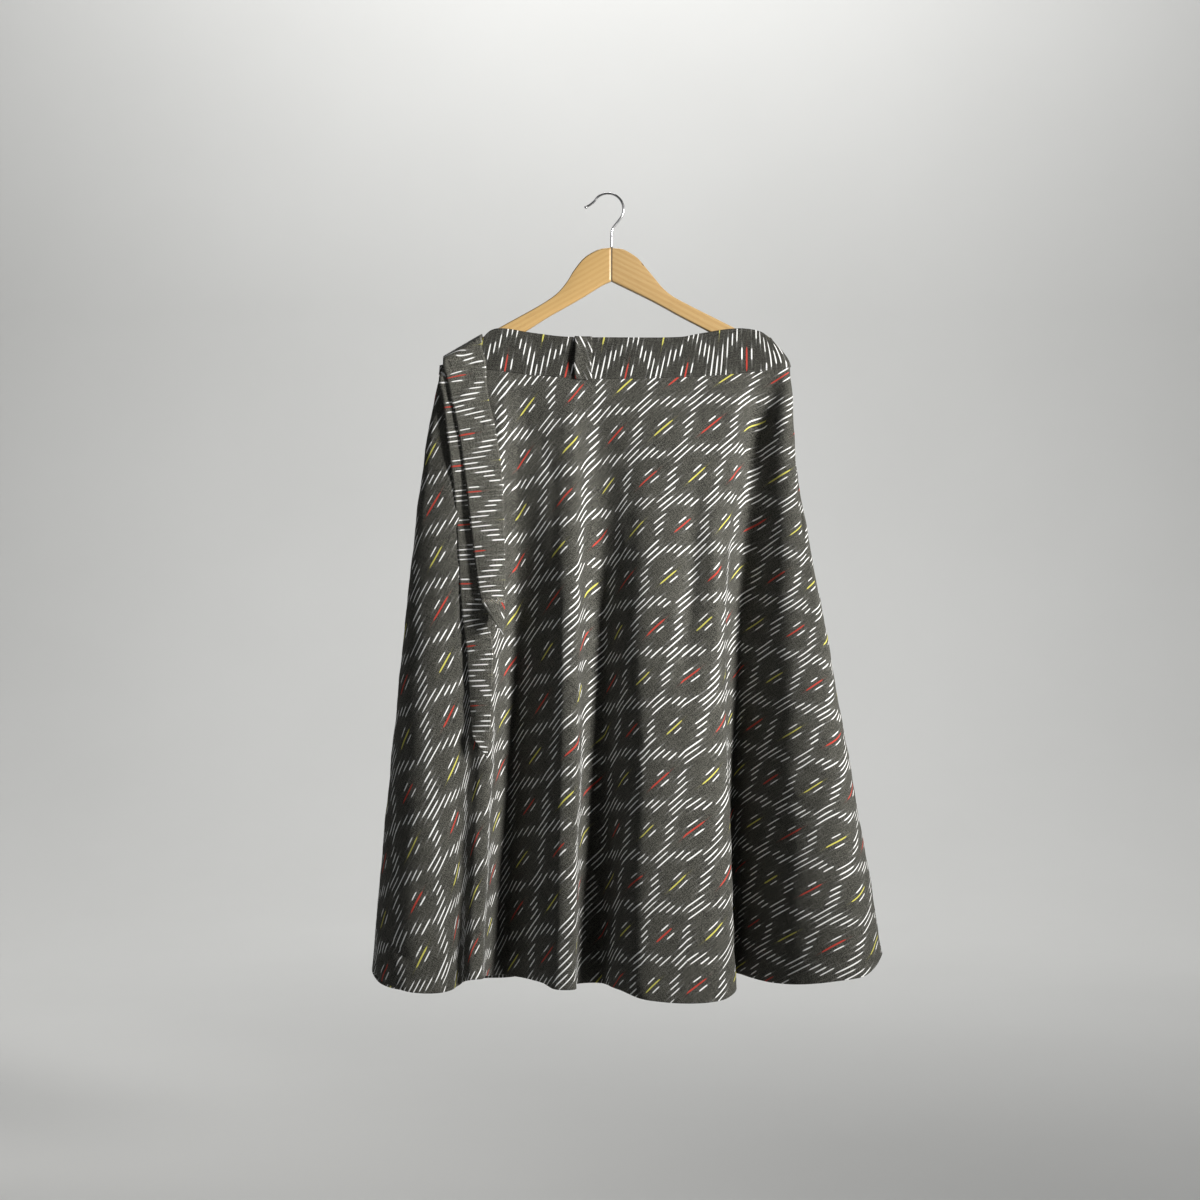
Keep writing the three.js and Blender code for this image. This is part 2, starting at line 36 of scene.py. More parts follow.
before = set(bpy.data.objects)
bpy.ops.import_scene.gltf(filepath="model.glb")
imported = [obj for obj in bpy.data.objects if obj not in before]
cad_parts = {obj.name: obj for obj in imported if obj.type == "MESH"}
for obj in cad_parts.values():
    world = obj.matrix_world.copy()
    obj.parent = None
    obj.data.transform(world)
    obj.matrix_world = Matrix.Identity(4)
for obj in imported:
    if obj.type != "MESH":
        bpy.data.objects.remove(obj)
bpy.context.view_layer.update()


# ------ driving sizes
WAIST_RADIUS = 573.0  # of the sector at the waist seam, so that a degree is 10 mm of waist
SKIRT_LENGTH = 780.0
FIRST_CUT = -48.0
LEFT_SEAM_CUT = -28.0
RIGHT_SEAM_CUT = 32.0
LAST_CUT = 60.0
GORES = {  # the first and last cut of each
    "front": (LEFT_SEAM_CUT, RIGHT_SEAM_CUT),
    "back": (RIGHT_SEAM_CUT, LAST_CUT),
    "underlap": (FIRST_CUT, LEFT_SEAM_CUT),
}
CLOTH_THICKNESS = 0.8
BAND_THICKNESS = 0.7
BAND_HALF_GAP = 0.95  # from the band's middle to each of its two layers
TIE_THICKNESS = 1.3
LOOP_THICKNESS = 1.3
THREAD_LIFT = 0.08  # from a cloth's face to the middle of its stitches
HEM_ALLOWANCE = 55.0
HEM_GAP = 1.3
SEAM_GAP = 0.08
SEAM_GAP_CUT = math.degrees(SEAM_GAP / 2 / WAIST_RADIUS)  # each side's share of it, as a cut angle

RING = {"left": -219, "right": 229, "middle": 5, "front": -8.2, "inner_back": 8.2, "outer_back": 14.6}
FOLD_POWER = 0.68
FOLD_START = 0.03
LEAN_ROUNDING = 1.6


def table(columns, rows):
    """Rows of numbers as a dict of arrays, one for each named column."""
    names = columns.split()
    return {name: np.array([row[i] for row in rows], float) for i, name in enumerate(names)}


# One row for each crest, valley and lip: its cut angle and where it lies at the hem.
FOLDS = table("cut x y z", [
    [-48, 120, 62, -1003],  # underlap, free edge
    [-46.9, 95, 44, -1003],
    [-43.9, 40, 88, -1003],
    [-40.8, -18, 44, -1003],
    [-37.7, -75, 88, -1004],
    [-34.7, -130, 46, -1008],
    [-31.7, -185, 86, -1018],
    [-30, -225, 84, -1030],
    [-28, -268, 60, -1028],  # left seam
    [-25.9, -297, 20, -1012],
    [-23.8, -303, -20, -988],  # left outline
    [-21.4, -285, -62, -998],  # flute A
    [-19.5, -250, -90, -1005],
    [-18, -218, -92, -1006],
    [-16.8, -199, -87, -1003],
    [-15.6, -191, -85, -998],  # groove
    [-14.3, -183, -90, -992],  # flute B
    [-13.4, -174, -96, -989],
    [-12.7, -163, -94, -988],
    [-11.5, -160, -66, -990],
    [-10.1, -153, -33, -994],
    [-8.8, -137, -4, -997],  # valley B to C
    [-5.6, -88, -66, -997],  # flute C
    [-4.1, -67, -95, -1001],
    [-3.25, -48, -96, -1001],
    [-2.4, -45.5, -76, -1001],
    [-1, -42, -46, -1002],
    [0.4, -13, -21, -1005],  # valley C to D
    [3.2, 11, -76, -1005],  # flute D
    [4.9, 36, -110, -1010],
    [8.2, 94, -120, -1014],
    [10.1, 137, -112, -1011],
    [11.4, 154, -88, -1004],
    [13.9, 147, -30, -1001],
    [16.6, 160, 34, -1001],  # valley D to E
    [18.6, 180, -4, -1001],  # flute E
    [20.6, 204, -42, -1001],
    [22.7, 238, -80, -997],
    [24.4, 274, -97, -991],
    [26.2, 316, -92, -984],
    [27.9, 338, -56, -969],  # right outline
    [29.9, 341, -9, -968],
    [32, 316, 35, -986],  # right seam
    [34.1, 268, 66, -999],  # back, crest 1
    [37, 205, 62, -1003],
    [39.9, 150, 106, -1005],
    [42.8, 95, 62, -1003],
    [45.8, 40, 107, -1005],
    [48.9, -18, 62, -1003],
    [52, -75, 108, -1005],
    [55, -130, 64, -1003],
    [57.9, -185, 106, -1005],
    [60, -228, 103, -1004],  # outer free edge
])

# The folds B to E lean: each runs at the cut waist by the seam, and has moved to its hem cut by the drop
# until.
DRIFTS = table("waist hem until", [
    [-14.3, -14.3, 1], [-13.8, -12.6, 0.9], [-12, -9, 0.9], [-7.5, -5.6, 0.9], [-6.1, -4.1, 0.9],
    [-5.1, -3, 0.9], [-4.1, -1.5, 0.9], [-2.1, 0.4, 0.9], [1.8, 3.2, 0.9], [4.3, 4.9, 0.9],
    [8.2, 8.2, 1], [15.5, 11.4, 0.55], [20.6, 20.6, 1],
])

# The heights of the waistband's lower and upper edge, and how far its top rolls in over an arm's end.
BAND = table("cut seam top lean", [
    [-48, -235, -184, 0], [-36, -234, -187, 0], [-28, -232, -202, 0], [-24.8, -231, -218, 0],
    [-22.9, -230, -219, 1], [-21, -229, -217, 0], [-18, -226, -203, 0], [-16.3, -224, -178.5, 0],
    [-14.7, -224.5, -172.5, 0], [-11, -229.5, -177.5, 0], [-6.5, -233, -183, 0], [0, -235, -184, 0],
    [8.3, -233, -183.5, 0], [10.9, -231.5, -179, 0], [15.7, -228, -172.5, 0], [18.6, -225, -176, 2],
    [21.2, -221.5, -184, 15], [23.1, -219.5, -187, 27], [24.9, -221.5, -184, 15], [27.8, -226, -176, 2],
    [30.5, -229, -173, 0], [36, -232, -180, 0], [45, -235, -184, 0], [52, -233, -181, 0],
    [60, -231, -177, 0],
])


# ------ vectors, curves and tables
def unit(vectors):
    return vectors / np.maximum(np.linalg.norm(vectors, axis=-1, keepdims=True), 1e-9)


def turned(x, y, degrees):
    """Where x and y come to when the plane turns."""
    cos, sin = math.cos(math.radians(degrees)), math.sin(math.radians(degrees))
    return cos * x - sin * y, sin * x + cos * y


def smooth(x):
    x = np.clip(x, 0, 1)
    return x * x * (3 - 2 * x)


def hump(x, height, half_width):
    """The height where x is 0, and soon nothing past the half width."""
    return height * np.exp(-((x / half_width) ** 2))


def wandering_wave(run, radian, wander, wander_radian):
    """A wave whose crests come now closer and now wider, at radian millimetres of the run to a radian."""
    return np.sin(run / radian + wander * np.sin(run / wander_radian))


def distance_along(points):
    return np.concatenate([[0], np.cumsum(np.linalg.norm(np.diff(points, axis=0), axis=1))])


def points_at(at, run, points):
    """Places at some distances along the line through points, which are at the distances run."""
    return np.stack([np.interp(at, run, points[:, k]) for k in range(3)], -1)


def read_table(rows, key, cut):
    """A smooth curve through the table's rows at cut angles."""
    at, value = rows["cut"], rows[key]
    k = np.arange(len(at))
    before, after = np.maximum(k - 1, 0), np.minimum(k + 1, k[-1])
    slopes = (value[after] - value[before]) / (at[after] - at[before])
    i = np.clip(np.searchsorted(at, cut, side="right") - 1, 0, len(at) - 2)
    width = at[i + 1] - at[i]
    t = np.clip((cut - at[i]) / width, 0, 1)
    rise = smooth(t)
    curve = value[i] * (1 - rise) + value[i + 1] * rise
    return curve + width * t * (1 - t) * (slopes[i] * (1 - t) - slopes[i + 1] * t)


def curve_points(points, shares):
    """The centripetal Catmull-Rom curve through points, at shares of its number of stretches."""
    p = np.asarray(points, float)
    ends = np.vstack([2 * p[0] - p[1], p, 2 * p[-1] - p[-2]])
    place = np.clip(shares, 0, 1) * (len(p) - 1)
    i = np.minimum(place.astype(int), len(p) - 2)
    u = (place - i)[..., None]
    p0, p1, p2, p3 = (ends[i + k] for k in range(4))

    def step(a, b):
        return np.maximum(((b - a) ** 2).sum(-1, keepdims=True), 1e-12) ** 0.25

    d0, d1, d2 = step(p0, p1), step(p1, p2), step(p2, p3)
    t1 = ((p1 - p0) / d0 - (p2 - p0) / (d0 + d1) + (p2 - p1) / d1) * d1
    t2 = ((p2 - p1) / d1 - (p3 - p1) / (d1 + d2) + (p3 - p2) / d2) * d1
    return p1 + t1 * u + (3 * (p2 - p1) - 2 * t1 - t2) * u**2 + (2 * (p1 - p2) + t1 + t2) * u**3


def waist_run(cut):
    """How far along the waist seam a cut angle is from the middle of the front."""
    return np.radians(cut) * WAIST_RADIUS


def ring_place(cut):
    """Where the waist seam lies in plan: along the front, round an arm's end and along the back."""
    side = np.where(cut < 0, -1.0, 1.0)
    end = np.where(cut < 0, RING["left"], RING["right"])
    back = np.where(cut < 0, RING["inner_back"], RING["outer_back"])
    radius = (back - RING["front"]) / 2
    along = waist_run(np.abs(cut))
    straight = np.abs(end - RING["middle"]) - radius
    turn = (along - straight) / radius
    turn_here = np.clip(turn, 0, np.pi)
    bend = end - side * radius
    x = np.where(turn <= 0, RING["middle"] + side * along, bend + side * radius * np.sin(turn_here))
    x = np.where(turn >= np.pi, bend - side * (along - straight - np.pi * radius), x)
    return x, RING["front"] + radius * (1 - np.cos(turn_here))


def opening(drop):
    """The share of its opening at the hem that a fold has at a drop."""
    def eased(d):
        return (np.hypot(d, FOLD_START) - FOLD_START) ** FOLD_POWER

    return eased(np.maximum(drop, 0)) / eased(1.0)


def hem_point(cut):
    rows = np.arange(len(FOLDS["cut"]))
    share = np.interp(cut, FOLDS["cut"], rows) / rows[-1]
    return curve_points(np.stack([FOLDS["x"], FOLDS["y"], FOLDS["z"]], 1), share)


def fold_followed(cut, drop):
    """The cut angle whose fold a column follows at a drop."""
    hem = DRIFTS["hem"]
    here = DRIFTS["waist"] + (hem - DRIFTS["waist"]) * smooth(drop[..., None] / DRIFTS["until"])
    followed = np.array(cut, float)
    for i in range(len(hem) - 1):
        share = (cut - here[..., i]) / (here[..., i + 1] - here[..., i])
        between = (share >= 0) & (share < 1)
        followed = np.where(between, hem[i] + (hem[i + 1] - hem[i]) * share, followed)
    return followed


# ------ places in the cloth
NEAR_CUT = 0.02  # the steps by which a surface's normal is found
NEAR_PLACE = 0.001


def flat_place(cut, drop):
    """Where a place in the cloth lies in the flat cut: to the right and down from the sector's centre."""
    radius = WAIST_RADIUS + SKIRT_LENGTH * drop
    return radius * np.sin(np.radians(cut)), radius * np.cos(np.radians(cut))


def panel_base(cut, drop):
    """The panels' plain form, which opens from the waist seam into the folds' places at the hem."""
    cut, drop = np.broadcast_arrays(cut, drop)
    seam = np.stack([*ring_place(cut), read_table(BAND, "seam", cut)], -1)
    share = np.stack([opening(drop), opening(drop), drop], -1)
    return seam + (hem_point(fold_followed(cut, drop)) - seam) * share


def band_base(cut, rise):
    """The band's plain form, from the waist seam at 0 to its top edge at 1."""
    x, y = ring_place(cut)
    seam = read_table(BAND, "seam", cut)
    top = read_table(BAND, "top", cut)
    lean = read_table(BAND, "lean", cut) * np.maximum(rise, 0) ** LEAN_ROUNDING
    return np.stack([x - np.where(cut < 0, -1, 1) * lean, y, seam + (top - seam) * rise], -1)


def outward(surface, cut, place, place_is_down):
    """The unit normal, away from the wearer, of a surface given by cut and place."""
    along = surface(cut + NEAR_CUT, place) - surface(cut - NEAR_CUT, place)
    down = surface(cut, place + NEAR_PLACE) - surface(cut, place - NEAR_PLACE)
    return unit(np.cross(down, along)) * (1 if place_is_down else -1)


# Creases and soft hollows of the panels: the middle's cut and drop, the turn from straight
# down (plus towards a greater cut), the length, the half width and the depth, minus for a ridge.
CREASES = table("cut drop turn length width depth", [
    # front, hollows that continue the valleys up to the band
    [-12.5, 0.20, 4, 140, 15, 3.4], [-11, 0.085, 16, 60, 6, 1.8], [-8.6, 0.135, 24, 90, 7, 1.6],
    [8.9, 0.35, -6, 330, 14, 9], [11.2, 0.35, -6, 320, 10, -5], [19.3, 0.07, -14, 190, 15, 8],
    [19, 0.27, -1, 360, 19, 6.5], [21.8, 0.10, -6, 160, 9, -2],
    # front, small creases
    [10.2, 0.045, -30, 26, 4, 1.6], [10.9, 0.075, 20, 34, 5, 1.2], [6.2, 0.165, 60, 12, 3, 0.9],
    [-20.2, 0.34, 62, 52, 3.4, 1.5], [5.4, 0.66, 20, 175, 5, 0.7], [7.5, 0.78, 25, 120, 6, -0.7],
    [22.9, 0.655, 68, 70, 5, 3], [22.4, 0.69, 64, 46, 4, -2], [22.6, 0.715, 58, 52, 4, 2],
    [25, 0.60, 35, 60, 5, -0.9], [24.1, 0.86, -30, 90, 8, 1.2], [-19.2, 0.955, 75, 80, 5, 3],
    [-20.6, 0.94, 62, 56, 4, 2.2], [-18.2, 0.975, 96, 70, 5, -2], [-21.8, 0.965, 48, 40, 4, 1.6],
    [-21.5, 0.80, 20, 110, 9, 1.3], [-17.6, 0.62, -8, 190, 8, -1.2], [-4.6, 0.52, 8, 150, 8, -1],
    [-3.4, 0.82, -6, 120, 7, 0.9], [8.4, 0.93, 80, 90, 7, 1], [1, 0.30, 18, 80, 9, 1.2],
    [-13.3, 0.42, 6, 120, 8, 0.9], [4, 0.10, 74, 60, 9, 0.8], [-6, 0.05, 80, 70, 8, -0.7],
    # back panel
    [36, 0.06, 6, 140, 14, 3], [41.5, 0.05, -4, 120, 12, 2.4], [47, 0.07, 5, 150, 14, 3],
    [53.5, 0.05, -6, 130, 12, 2.6], [39.5, 0.48, 24, 90, 6, 1.2], [44, 0.70, -20, 120, 7, 1.3],
    [50.5, 0.36, 60, 60, 5, 1], [56.5, 0.62, 22, 110, 7, 1.4], [52.2, 0.88, 72, 70, 6, 1.2],
    [35.4, 0.82, -26, 90, 7, 1.2], [47.6, 0.58, 8, 160, 9, -1.4],
    # underlap
    [-31.5, 0.40, 14, 120, 8, 1.2], [-37, 0.66, -18, 110, 8, 1.3], [-43, 0.30, 10, 100, 8, 1.1],
])

# The cloth's general unevenness, as waves in the flat cut.
UNEVENNESS = table("length turn height phase", [
    [118, 14, 0.55, 0.3], [76, -22, 0.38, 1.7], [53, 66, 0.26, 4.1], [37, -61, 0.17, 2.2],
    [23, 31, 0.10, 5.2], [17, -78, 0.07, 0.9],
])

HEM_STITCH_UP = 50.0  # the hem's stitch line above the edge
FREE_EDGE_STITCH = 9.0  # the same line from the wrap's two free edges
RELIEF_WHOLE = 22  # how far below the seam the relief has its full height

# The heights and half widths of the troughs that seams and stitches pull in.
PANEL_SEAM = (0.8, 1.8)
FREE_EDGE = (0.35, 2.5)
BAND_SEAM = (0.5, 1.4)
TIE_STITCH = (0.25, 1.2)
HEM_STITCH_WIDTH = 3.5

# Waves along the edges, as what wandering_wave is called with, and how far from an edge they reach.
SEAM_GATHERS = (7.3 / (2 * np.pi), 1.3, 31)
SEAM_GATHERS_REACH = 14
HEM_PUCKER = (3.1, 1.0, 17)
HEM_ROLL = (26, 1.4, 61)
HEM_ROLL_REACH = 14
HEM_GATHERS_REACH = 30
BAND_PUCKER = (1.35, 1.0, 23)
BAND_PUCKER_REACH = 5
TIE_PUCKER = (1.4, 1.0, 19)
TIE_PUCKER_REACH = 4


def crease_depth(cut, drop):
    x, y = flat_place(cut, drop)
    depth = np.zeros(np.broadcast(cut, drop).shape)
    for at_cut, at_drop, turn, length, width, deep in zip(*CREASES.values()):
        middle_x, middle_y = flat_place(at_cut, at_drop)
        across, along = turned(x - middle_x, y - middle_y, at_cut + turn)
        depth += hump(across, deep, width) * np.clip(1 - (along / (length / 2)) ** 2, 0, 1) ** 1.5
    return depth


def hem_relief(hem_run, above_hem):
    """The pucker along the hem's stitches, the edge's slow roll and its small slanting gathers."""
    pucker = 0.35 + 0.25 * wandering_wave(hem_run, *HEM_PUCKER)
    roll = 0.9 + 0.9 * wandering_wave(hem_run, *HEM_ROLL)
    gathers = 0.35 * np.sin(hem_run / 6.3 + above_hem / 9)
    relief = roll * np.exp(-above_hem / HEM_ROLL_REACH) + gathers * np.exp(-above_hem / HEM_GATHERS_REACH)
    return relief - hump(above_hem - HEM_STITCH_UP, pucker, HEM_STITCH_WIDTH)


def panel_relief(cut, drop):
    """How far the cloth stands out from its folds' plain form."""
    x, y = flat_place(cut, drop)
    below_seam = SKIRT_LENGTH * np.maximum(drop, 0)
    relief = hem_relief(np.radians(cut) * (WAIST_RADIUS + SKIRT_LENGTH), SKIRT_LENGTH * (1 - drop))
    relief = relief - crease_depth(cut, drop)
    for length, turn, height, phase in zip(*UNEVENNESS.values()):
        relief += height * np.sin(2 * np.pi * turned(x, y, -turn)[0] / length + phase)
    gathers = 0.38 * wandering_wave(waist_run(cut), *SEAM_GATHERS)
    relief += gathers * np.exp(-below_seam / SEAM_GATHERS_REACH)
    for seam in (LEFT_SEAM_CUT, RIGHT_SEAM_CUT):
        relief -= hump(np.radians(cut - seam) * (WAIST_RADIUS + below_seam), *PANEL_SEAM)
    for edge in (FIRST_CUT, LAST_CUT):
        from_edge = np.abs(np.radians(cut - edge) * (WAIST_RADIUS + below_seam))
        relief -= hump(from_edge - FREE_EDGE_STITCH, *FREE_EDGE)
    return relief * smooth(below_seam / RELIEF_WHOLE)


def panel_place(cut, drop):
    cut, drop = np.broadcast_arrays(np.asarray(cut, float), np.asarray(drop, float))
    normal = outward(panel_base, cut, drop, True)
    return panel_base(cut, drop) + normal * panel_relief(cut, drop)[..., None], normal


# ------ the ikat's place in the flat cut
RED_DASH_AT = (2.0, 648.0)  # in the flat cut, the middle of a red dash near the middle of the front


def panel_pattern(cut, drop):
    """Across the dashes and along them, in millimetres from a red dash's middle."""
    x, y = flat_place(cut, drop)
    dx, dy = x - RED_DASH_AT[0], y - RED_DASH_AT[1]
    return np.stack([(dx + dy) / math.sqrt(2), (dx - dy) / math.sqrt(2)], -1)


# ------ meshes
BEAD_SIDES = 5
BEAD_RINGS = ((-0.5, 0.35), (-0.3, 1.0), (0.3, 1.0), (0.5, 0.35))  # share of the length, share of the radius


def add_object(name, data):
    thing = bpy.data.objects.new(name, data)
    bpy.context.scene.collection.objects.link(thing)
    return thing


def add_mesh(name, points, faces, material):
    """A smooth object from points in millimetres."""
    mesh = bpy.data.meshes.new(name)
    mesh.from_pydata((points.reshape(-1, 3) * MM).tolist(), [], faces)
    mesh.materials.append(material)
    mesh.shade_smooth()
    return add_object(name, mesh)


def sheet_mesh(name, points, pattern, material, thickness):
    """A sheet of cloth from a grid of points, with the ikat's place at each as its UV map."""
    rows, columns = points.shape[:2]
    corner = (np.arange(rows - 1)[:, None] * columns + np.arange(columns - 1)).ravel()
    faces = np.stack([corner, corner + columns, corner + columns + 1, corner + 1], 1)
    piece = add_mesh(name, points, faces.tolist(), material)
    layer = piece.data.uv_layers.new(name="ikat")
    layer.data.foreach_set("uv", (pattern.reshape(-1, 2)[faces.ravel()] * MM).astype(np.float32).ravel())
    wall = piece.modifiers.new("thickness", "SOLIDIFY")
    wall.thickness = thickness * MM
    wall.offset = 0
    return piece


def ring_mesh(name, bodies, material):
    """Closed bodies, each from a row of closed rings of points."""
    count, rings, sides = bodies.shape[:3]
    faces = []
    for first in range(0, count * rings * sides, rings * sides):
        last = first + (rings - 1) * sides
        for ring in range(first, last, sides):
            for k in range(sides):
                a, b = ring + k, ring + (k + 1) % sides
                faces.append((a, b, b + sides, a + sides))
        faces.append(tuple(reversed(range(first, first + sides))))
        faces.append(tuple(range(last, last + sides)))
    piece = add_mesh(name, bodies, faces, material)
    piece.data.validate()
    return piece


def stitch_mesh(name, runs, pitch=2.8, length=2.1, radius=0.24):
    """Rows of stitches along runs of points, each with its normals, as one mesh of small beads."""
    turn = np.linspace(0, 2 * np.pi, BEAD_SIDES, endpoint=False)[:, None]
    beads = []
    for points, normals in runs:
        run = distance_along(points)
        at = np.arange(pitch / 2, run[-1], pitch)
        along = unit(points_at(at + 0.5, run, points) - points_at(at - 0.5, run, points))
        side = unit(np.cross(points_at(at, run, normals), along))
        round_part = side[:, None] * np.cos(turn) + np.cross(along, side)[:, None] * np.sin(turn)
        middle = points_at(at, run, points)
        rings = []
        for share, width in BEAD_RINGS:
            rings.append((middle + along * share * length)[:, None] + round_part * radius * width)
        beads.append(np.stack(rings, 1))
    return ring_mesh(name, np.concatenate(beads), THREAD)


# ------ materials
class Graph:
    """Builds a material's nodes with short calls. A value is a number, a tuple or another node's socket."""

    def __init__(self, name):
        self.material = bpy.data.materials.new(name)
        self.material.use_nodes = True
        self.tree = self.material.node_tree
        self.shader = self.tree.nodes["Principled BSDF"]

    def put(self, value, socket):
        if isinstance(value, bpy.types.NodeSocket):
            self.tree.links.new(value, socket)
        else:
            socket.default_value = value

    def name_inputs(self, node, inputs):
        """Fills inputs by name, a line under standing for a space."""
        for name, value in inputs.items():
            self.put(value, node.inputs[name.replace("_", " ")])
        return node

    def node(self, kind, **inputs):
        return self.name_inputs(self.tree.nodes.new(kind), inputs)

    def fill(self, node, *values):
        """Fills the node's first inputs, and gives its outputs."""
        for value, socket in zip(values, node.inputs):
            self.put(value, socket)
        return node.outputs

    def surface(self, **inputs):
        self.name_inputs(self.shader, inputs)
        return self.material

    def math(self, operation, *values):
        node = self.node("ShaderNodeMath")
        node.operation = operation
        return self.fill(node, *values)[0]

    add = partialmethod(math, "ADD")
    times = partialmethod(math, "MULTIPLY")
    less = partialmethod(math, "SUBTRACT")
    over = partialmethod(math, "DIVIDE")
    line = partialmethod(math, "MULTIPLY_ADD")  # value, slope, start
    floor = partialmethod(math, "FLOOR")
    size = partialmethod(math, "ABSOLUTE")
    greater = partialmethod(math, "MAXIMUM")

    def spread(self, chance, width):
        """A random share as a length from minus to plus half the width."""
        return self.line(chance, width, -width / 2)

    def vector(self, x, y, z):
        return self.node("ShaderNodeCombineXYZ", X=x, Y=y, Z=z).outputs[0]

    def object_place(self):
        return self.node("ShaderNodeTexCoord").outputs["Object"]

    def split(self, vector):
        """The places along x, y and z, in millimetres."""
        return [self.times(part, 1 / MM) for part in self.fill(self.node("ShaderNodeSeparateXYZ"), vector)]

    def stretched(self, vector, x, y, z):
        return self.node("ShaderNodeMapping", Vector=vector, Scale=(x, y, z)).outputs[0]

    def fade(self, value, start, end, low=0.0, high=1.0):
        """low where value is at start or before, high at end or past it, smooth between."""
        node = self.node("ShaderNodeMapRange")
        node.interpolation_type = "SMOOTHSTEP"
        return self.fill(node, value, start, end, low, high)[0]

    def random(self, x, y, z):
        """Three random numbers from 0 to 1 for whole-numbered x, y and z."""
        node = self.node("ShaderNodeTexWhiteNoise")
        node.noise_dimensions = "3D"
        self.put(self.vector(x, y, z), node.inputs["Vector"])
        return self.fill(self.node("ShaderNodeSeparateColor"), node.outputs["Color"])

    def noise(self, vector, scale, detail=2.0, roughness=0.5):
        node = self.node("ShaderNodeTexNoise", Vector=vector, Scale=scale, Detail=detail, Roughness=roughness)
        return node.outputs["Fac"]

    def mix(self, share, a, b):
        node = self.node("ShaderNodeMix")
        node.data_type = "RGBA"
        self.put(share, node.inputs["Factor"])
        self.put(a, node.inputs[6])
        self.put(b, node.inputs[7])
        return node.outputs[2]

    def steps(self, share, colours):
        """A colour for each of so many equal steps of share."""
        node = self.node("ShaderNodeValToRGB")
        node.color_ramp.interpolation = "CONSTANT"
        stops = node.color_ramp.elements
        while len(stops) < len(colours):
            stops.new(1.0)
        for i, colour in enumerate(colours):
            stops[i].position = i / len(colours)
            stops[i].color = (*colour, 1.0)
        return self.fill(node, share)[0]

    def bump(self, height, distance, strength=1.0):
        return self.node("ShaderNodeBump", Strength=strength, Distance=distance, Height=height).outputs[0]


# The ikat's repeat, charted by column of dashes away from a column with a red dash: each column's two dashes,
# by the place of the middle along the column, the length, and the ink: 0 undyed, 0.5 yellow, 1 red.
DASH_PITCH = 6.4
COLUMNS_IN_REPEAT = 12
HALF_REPEAT = 55.4
IKAT_CHART = [
    # middle, length, ink; middle, length, ink
    ((0, 30, 1), (55.4, 22, 0)),
    ((5, 13, 0), (57, 34, 0)),
    ((31.5, 15, 0), (-31.5, 15, 0)),
    ((26, 15, 0), (-26, 15, 0)),
    ((19.6, 22, 0), (-19.6, 22, 0)),
    ((6, 36, 0), (59.4, 14, 0)),
    ((0, 22, 0), (55.4, 29, 0.5)),
]
UNDYED = (0.95, 0.95, 0.93)
YELLOW = (0.66, 0.62, 0.13)
RED = (0.52, 0.058, 0.040)
CHARCOAL = (0.0640, 0.0628, 0.0532)
CHARTED = 4 * HALF_REPEAT  # the ramp holds a dash's middle as a share of this, from -HALF_REPEAT on,
LONGEST_DASH = 50.0  # and its length as a share of this
DASH_OFF_ALONG = 3.6
DASH_OFF_ACROSS = 0.9
DASH_FRAY = 2.6
HALF_LENGTH = (0.12, 0.47)  # the random part and the least, as shares of the chart's length
HALF_WIDTH = (0.26, 0.67)  # the same in millimetres
RED_WIDER = 0.25
YARN_PITCH = 0.55
LOOM_DRIFT = 3.0
SLUB_ACROSS = 1.1  # the noise's scale to a millimetre across a slub and along it, and in the loom's drift
SLUB_ALONG = 0.05
DRIFT_SCALE = 0.011


def ikat_dash(g, which, s, t, column, kind_share):
    """The mask and colour of one of the two dashes of each column, with its faint tail."""
    chart = []
    for dashes in IKAT_CHART:
        middle, length, ink = dashes[which]
        chart.append(((middle + HALF_REPEAT) / CHARTED, length / LONGEST_DASH, ink))
    middle, length, ink = g.fill(g.node("ShaderNodeSeparateColor"), g.steps(kind_share, chart))

    along = g.less(t, g.line(middle, CHARTED, -HALF_REPEAT))
    repeat = g.floor(g.over(g.add(along, HALF_REPEAT), 2 * HALF_REPEAT))
    chance = g.random(column, repeat, 3.0 + 7.0 * which)
    fray = g.random(g.floor(g.over(s, YARN_PITCH)), repeat, 11.0 + 5.0 * which)
    along = g.less(along, g.times(repeat, 2 * HALF_REPEAT))
    along = g.size(g.add(along, g.spread(chance[0], DASH_OFF_ALONG)))
    half = g.times(g.times(length, LONGEST_DASH), g.line(chance[1], *HALF_LENGTH))
    beyond = g.less(along, g.add(half, g.spread(fray[0], DASH_FRAY)))

    across = g.less(s, g.times(column, DASH_PITCH))
    across = g.size(g.less(across, g.spread(chance[2], DASH_OFF_ACROSS)))
    fullness = g.less(1.0, g.math("POWER", g.over(along, g.add(half, 1.0)), 6.0))
    wide = g.times(g.add(g.times(ink, RED_WIDER), g.line(chance[2], *HALF_WIDTH)), fullness)
    edge = g.less(across, g.greater(wide, 0.1))
    mask = g.times(g.fade(beyond, 0.9, -0.5), g.fade(edge, 0.14, -0.14))
    tail = g.times(g.fade(beyond, 13.0, 0.0), g.fade(across, 1.1, 0.5))
    tail = g.times(tail, g.line(chance[1], 0.12, 0.02))
    mask = g.greater(g.times(mask, g.line(fray[1], 0.08, 0.92)), tail)
    return mask, g.steps(g.times(ink, 0.99), [UNDYED, YELLOW, RED])


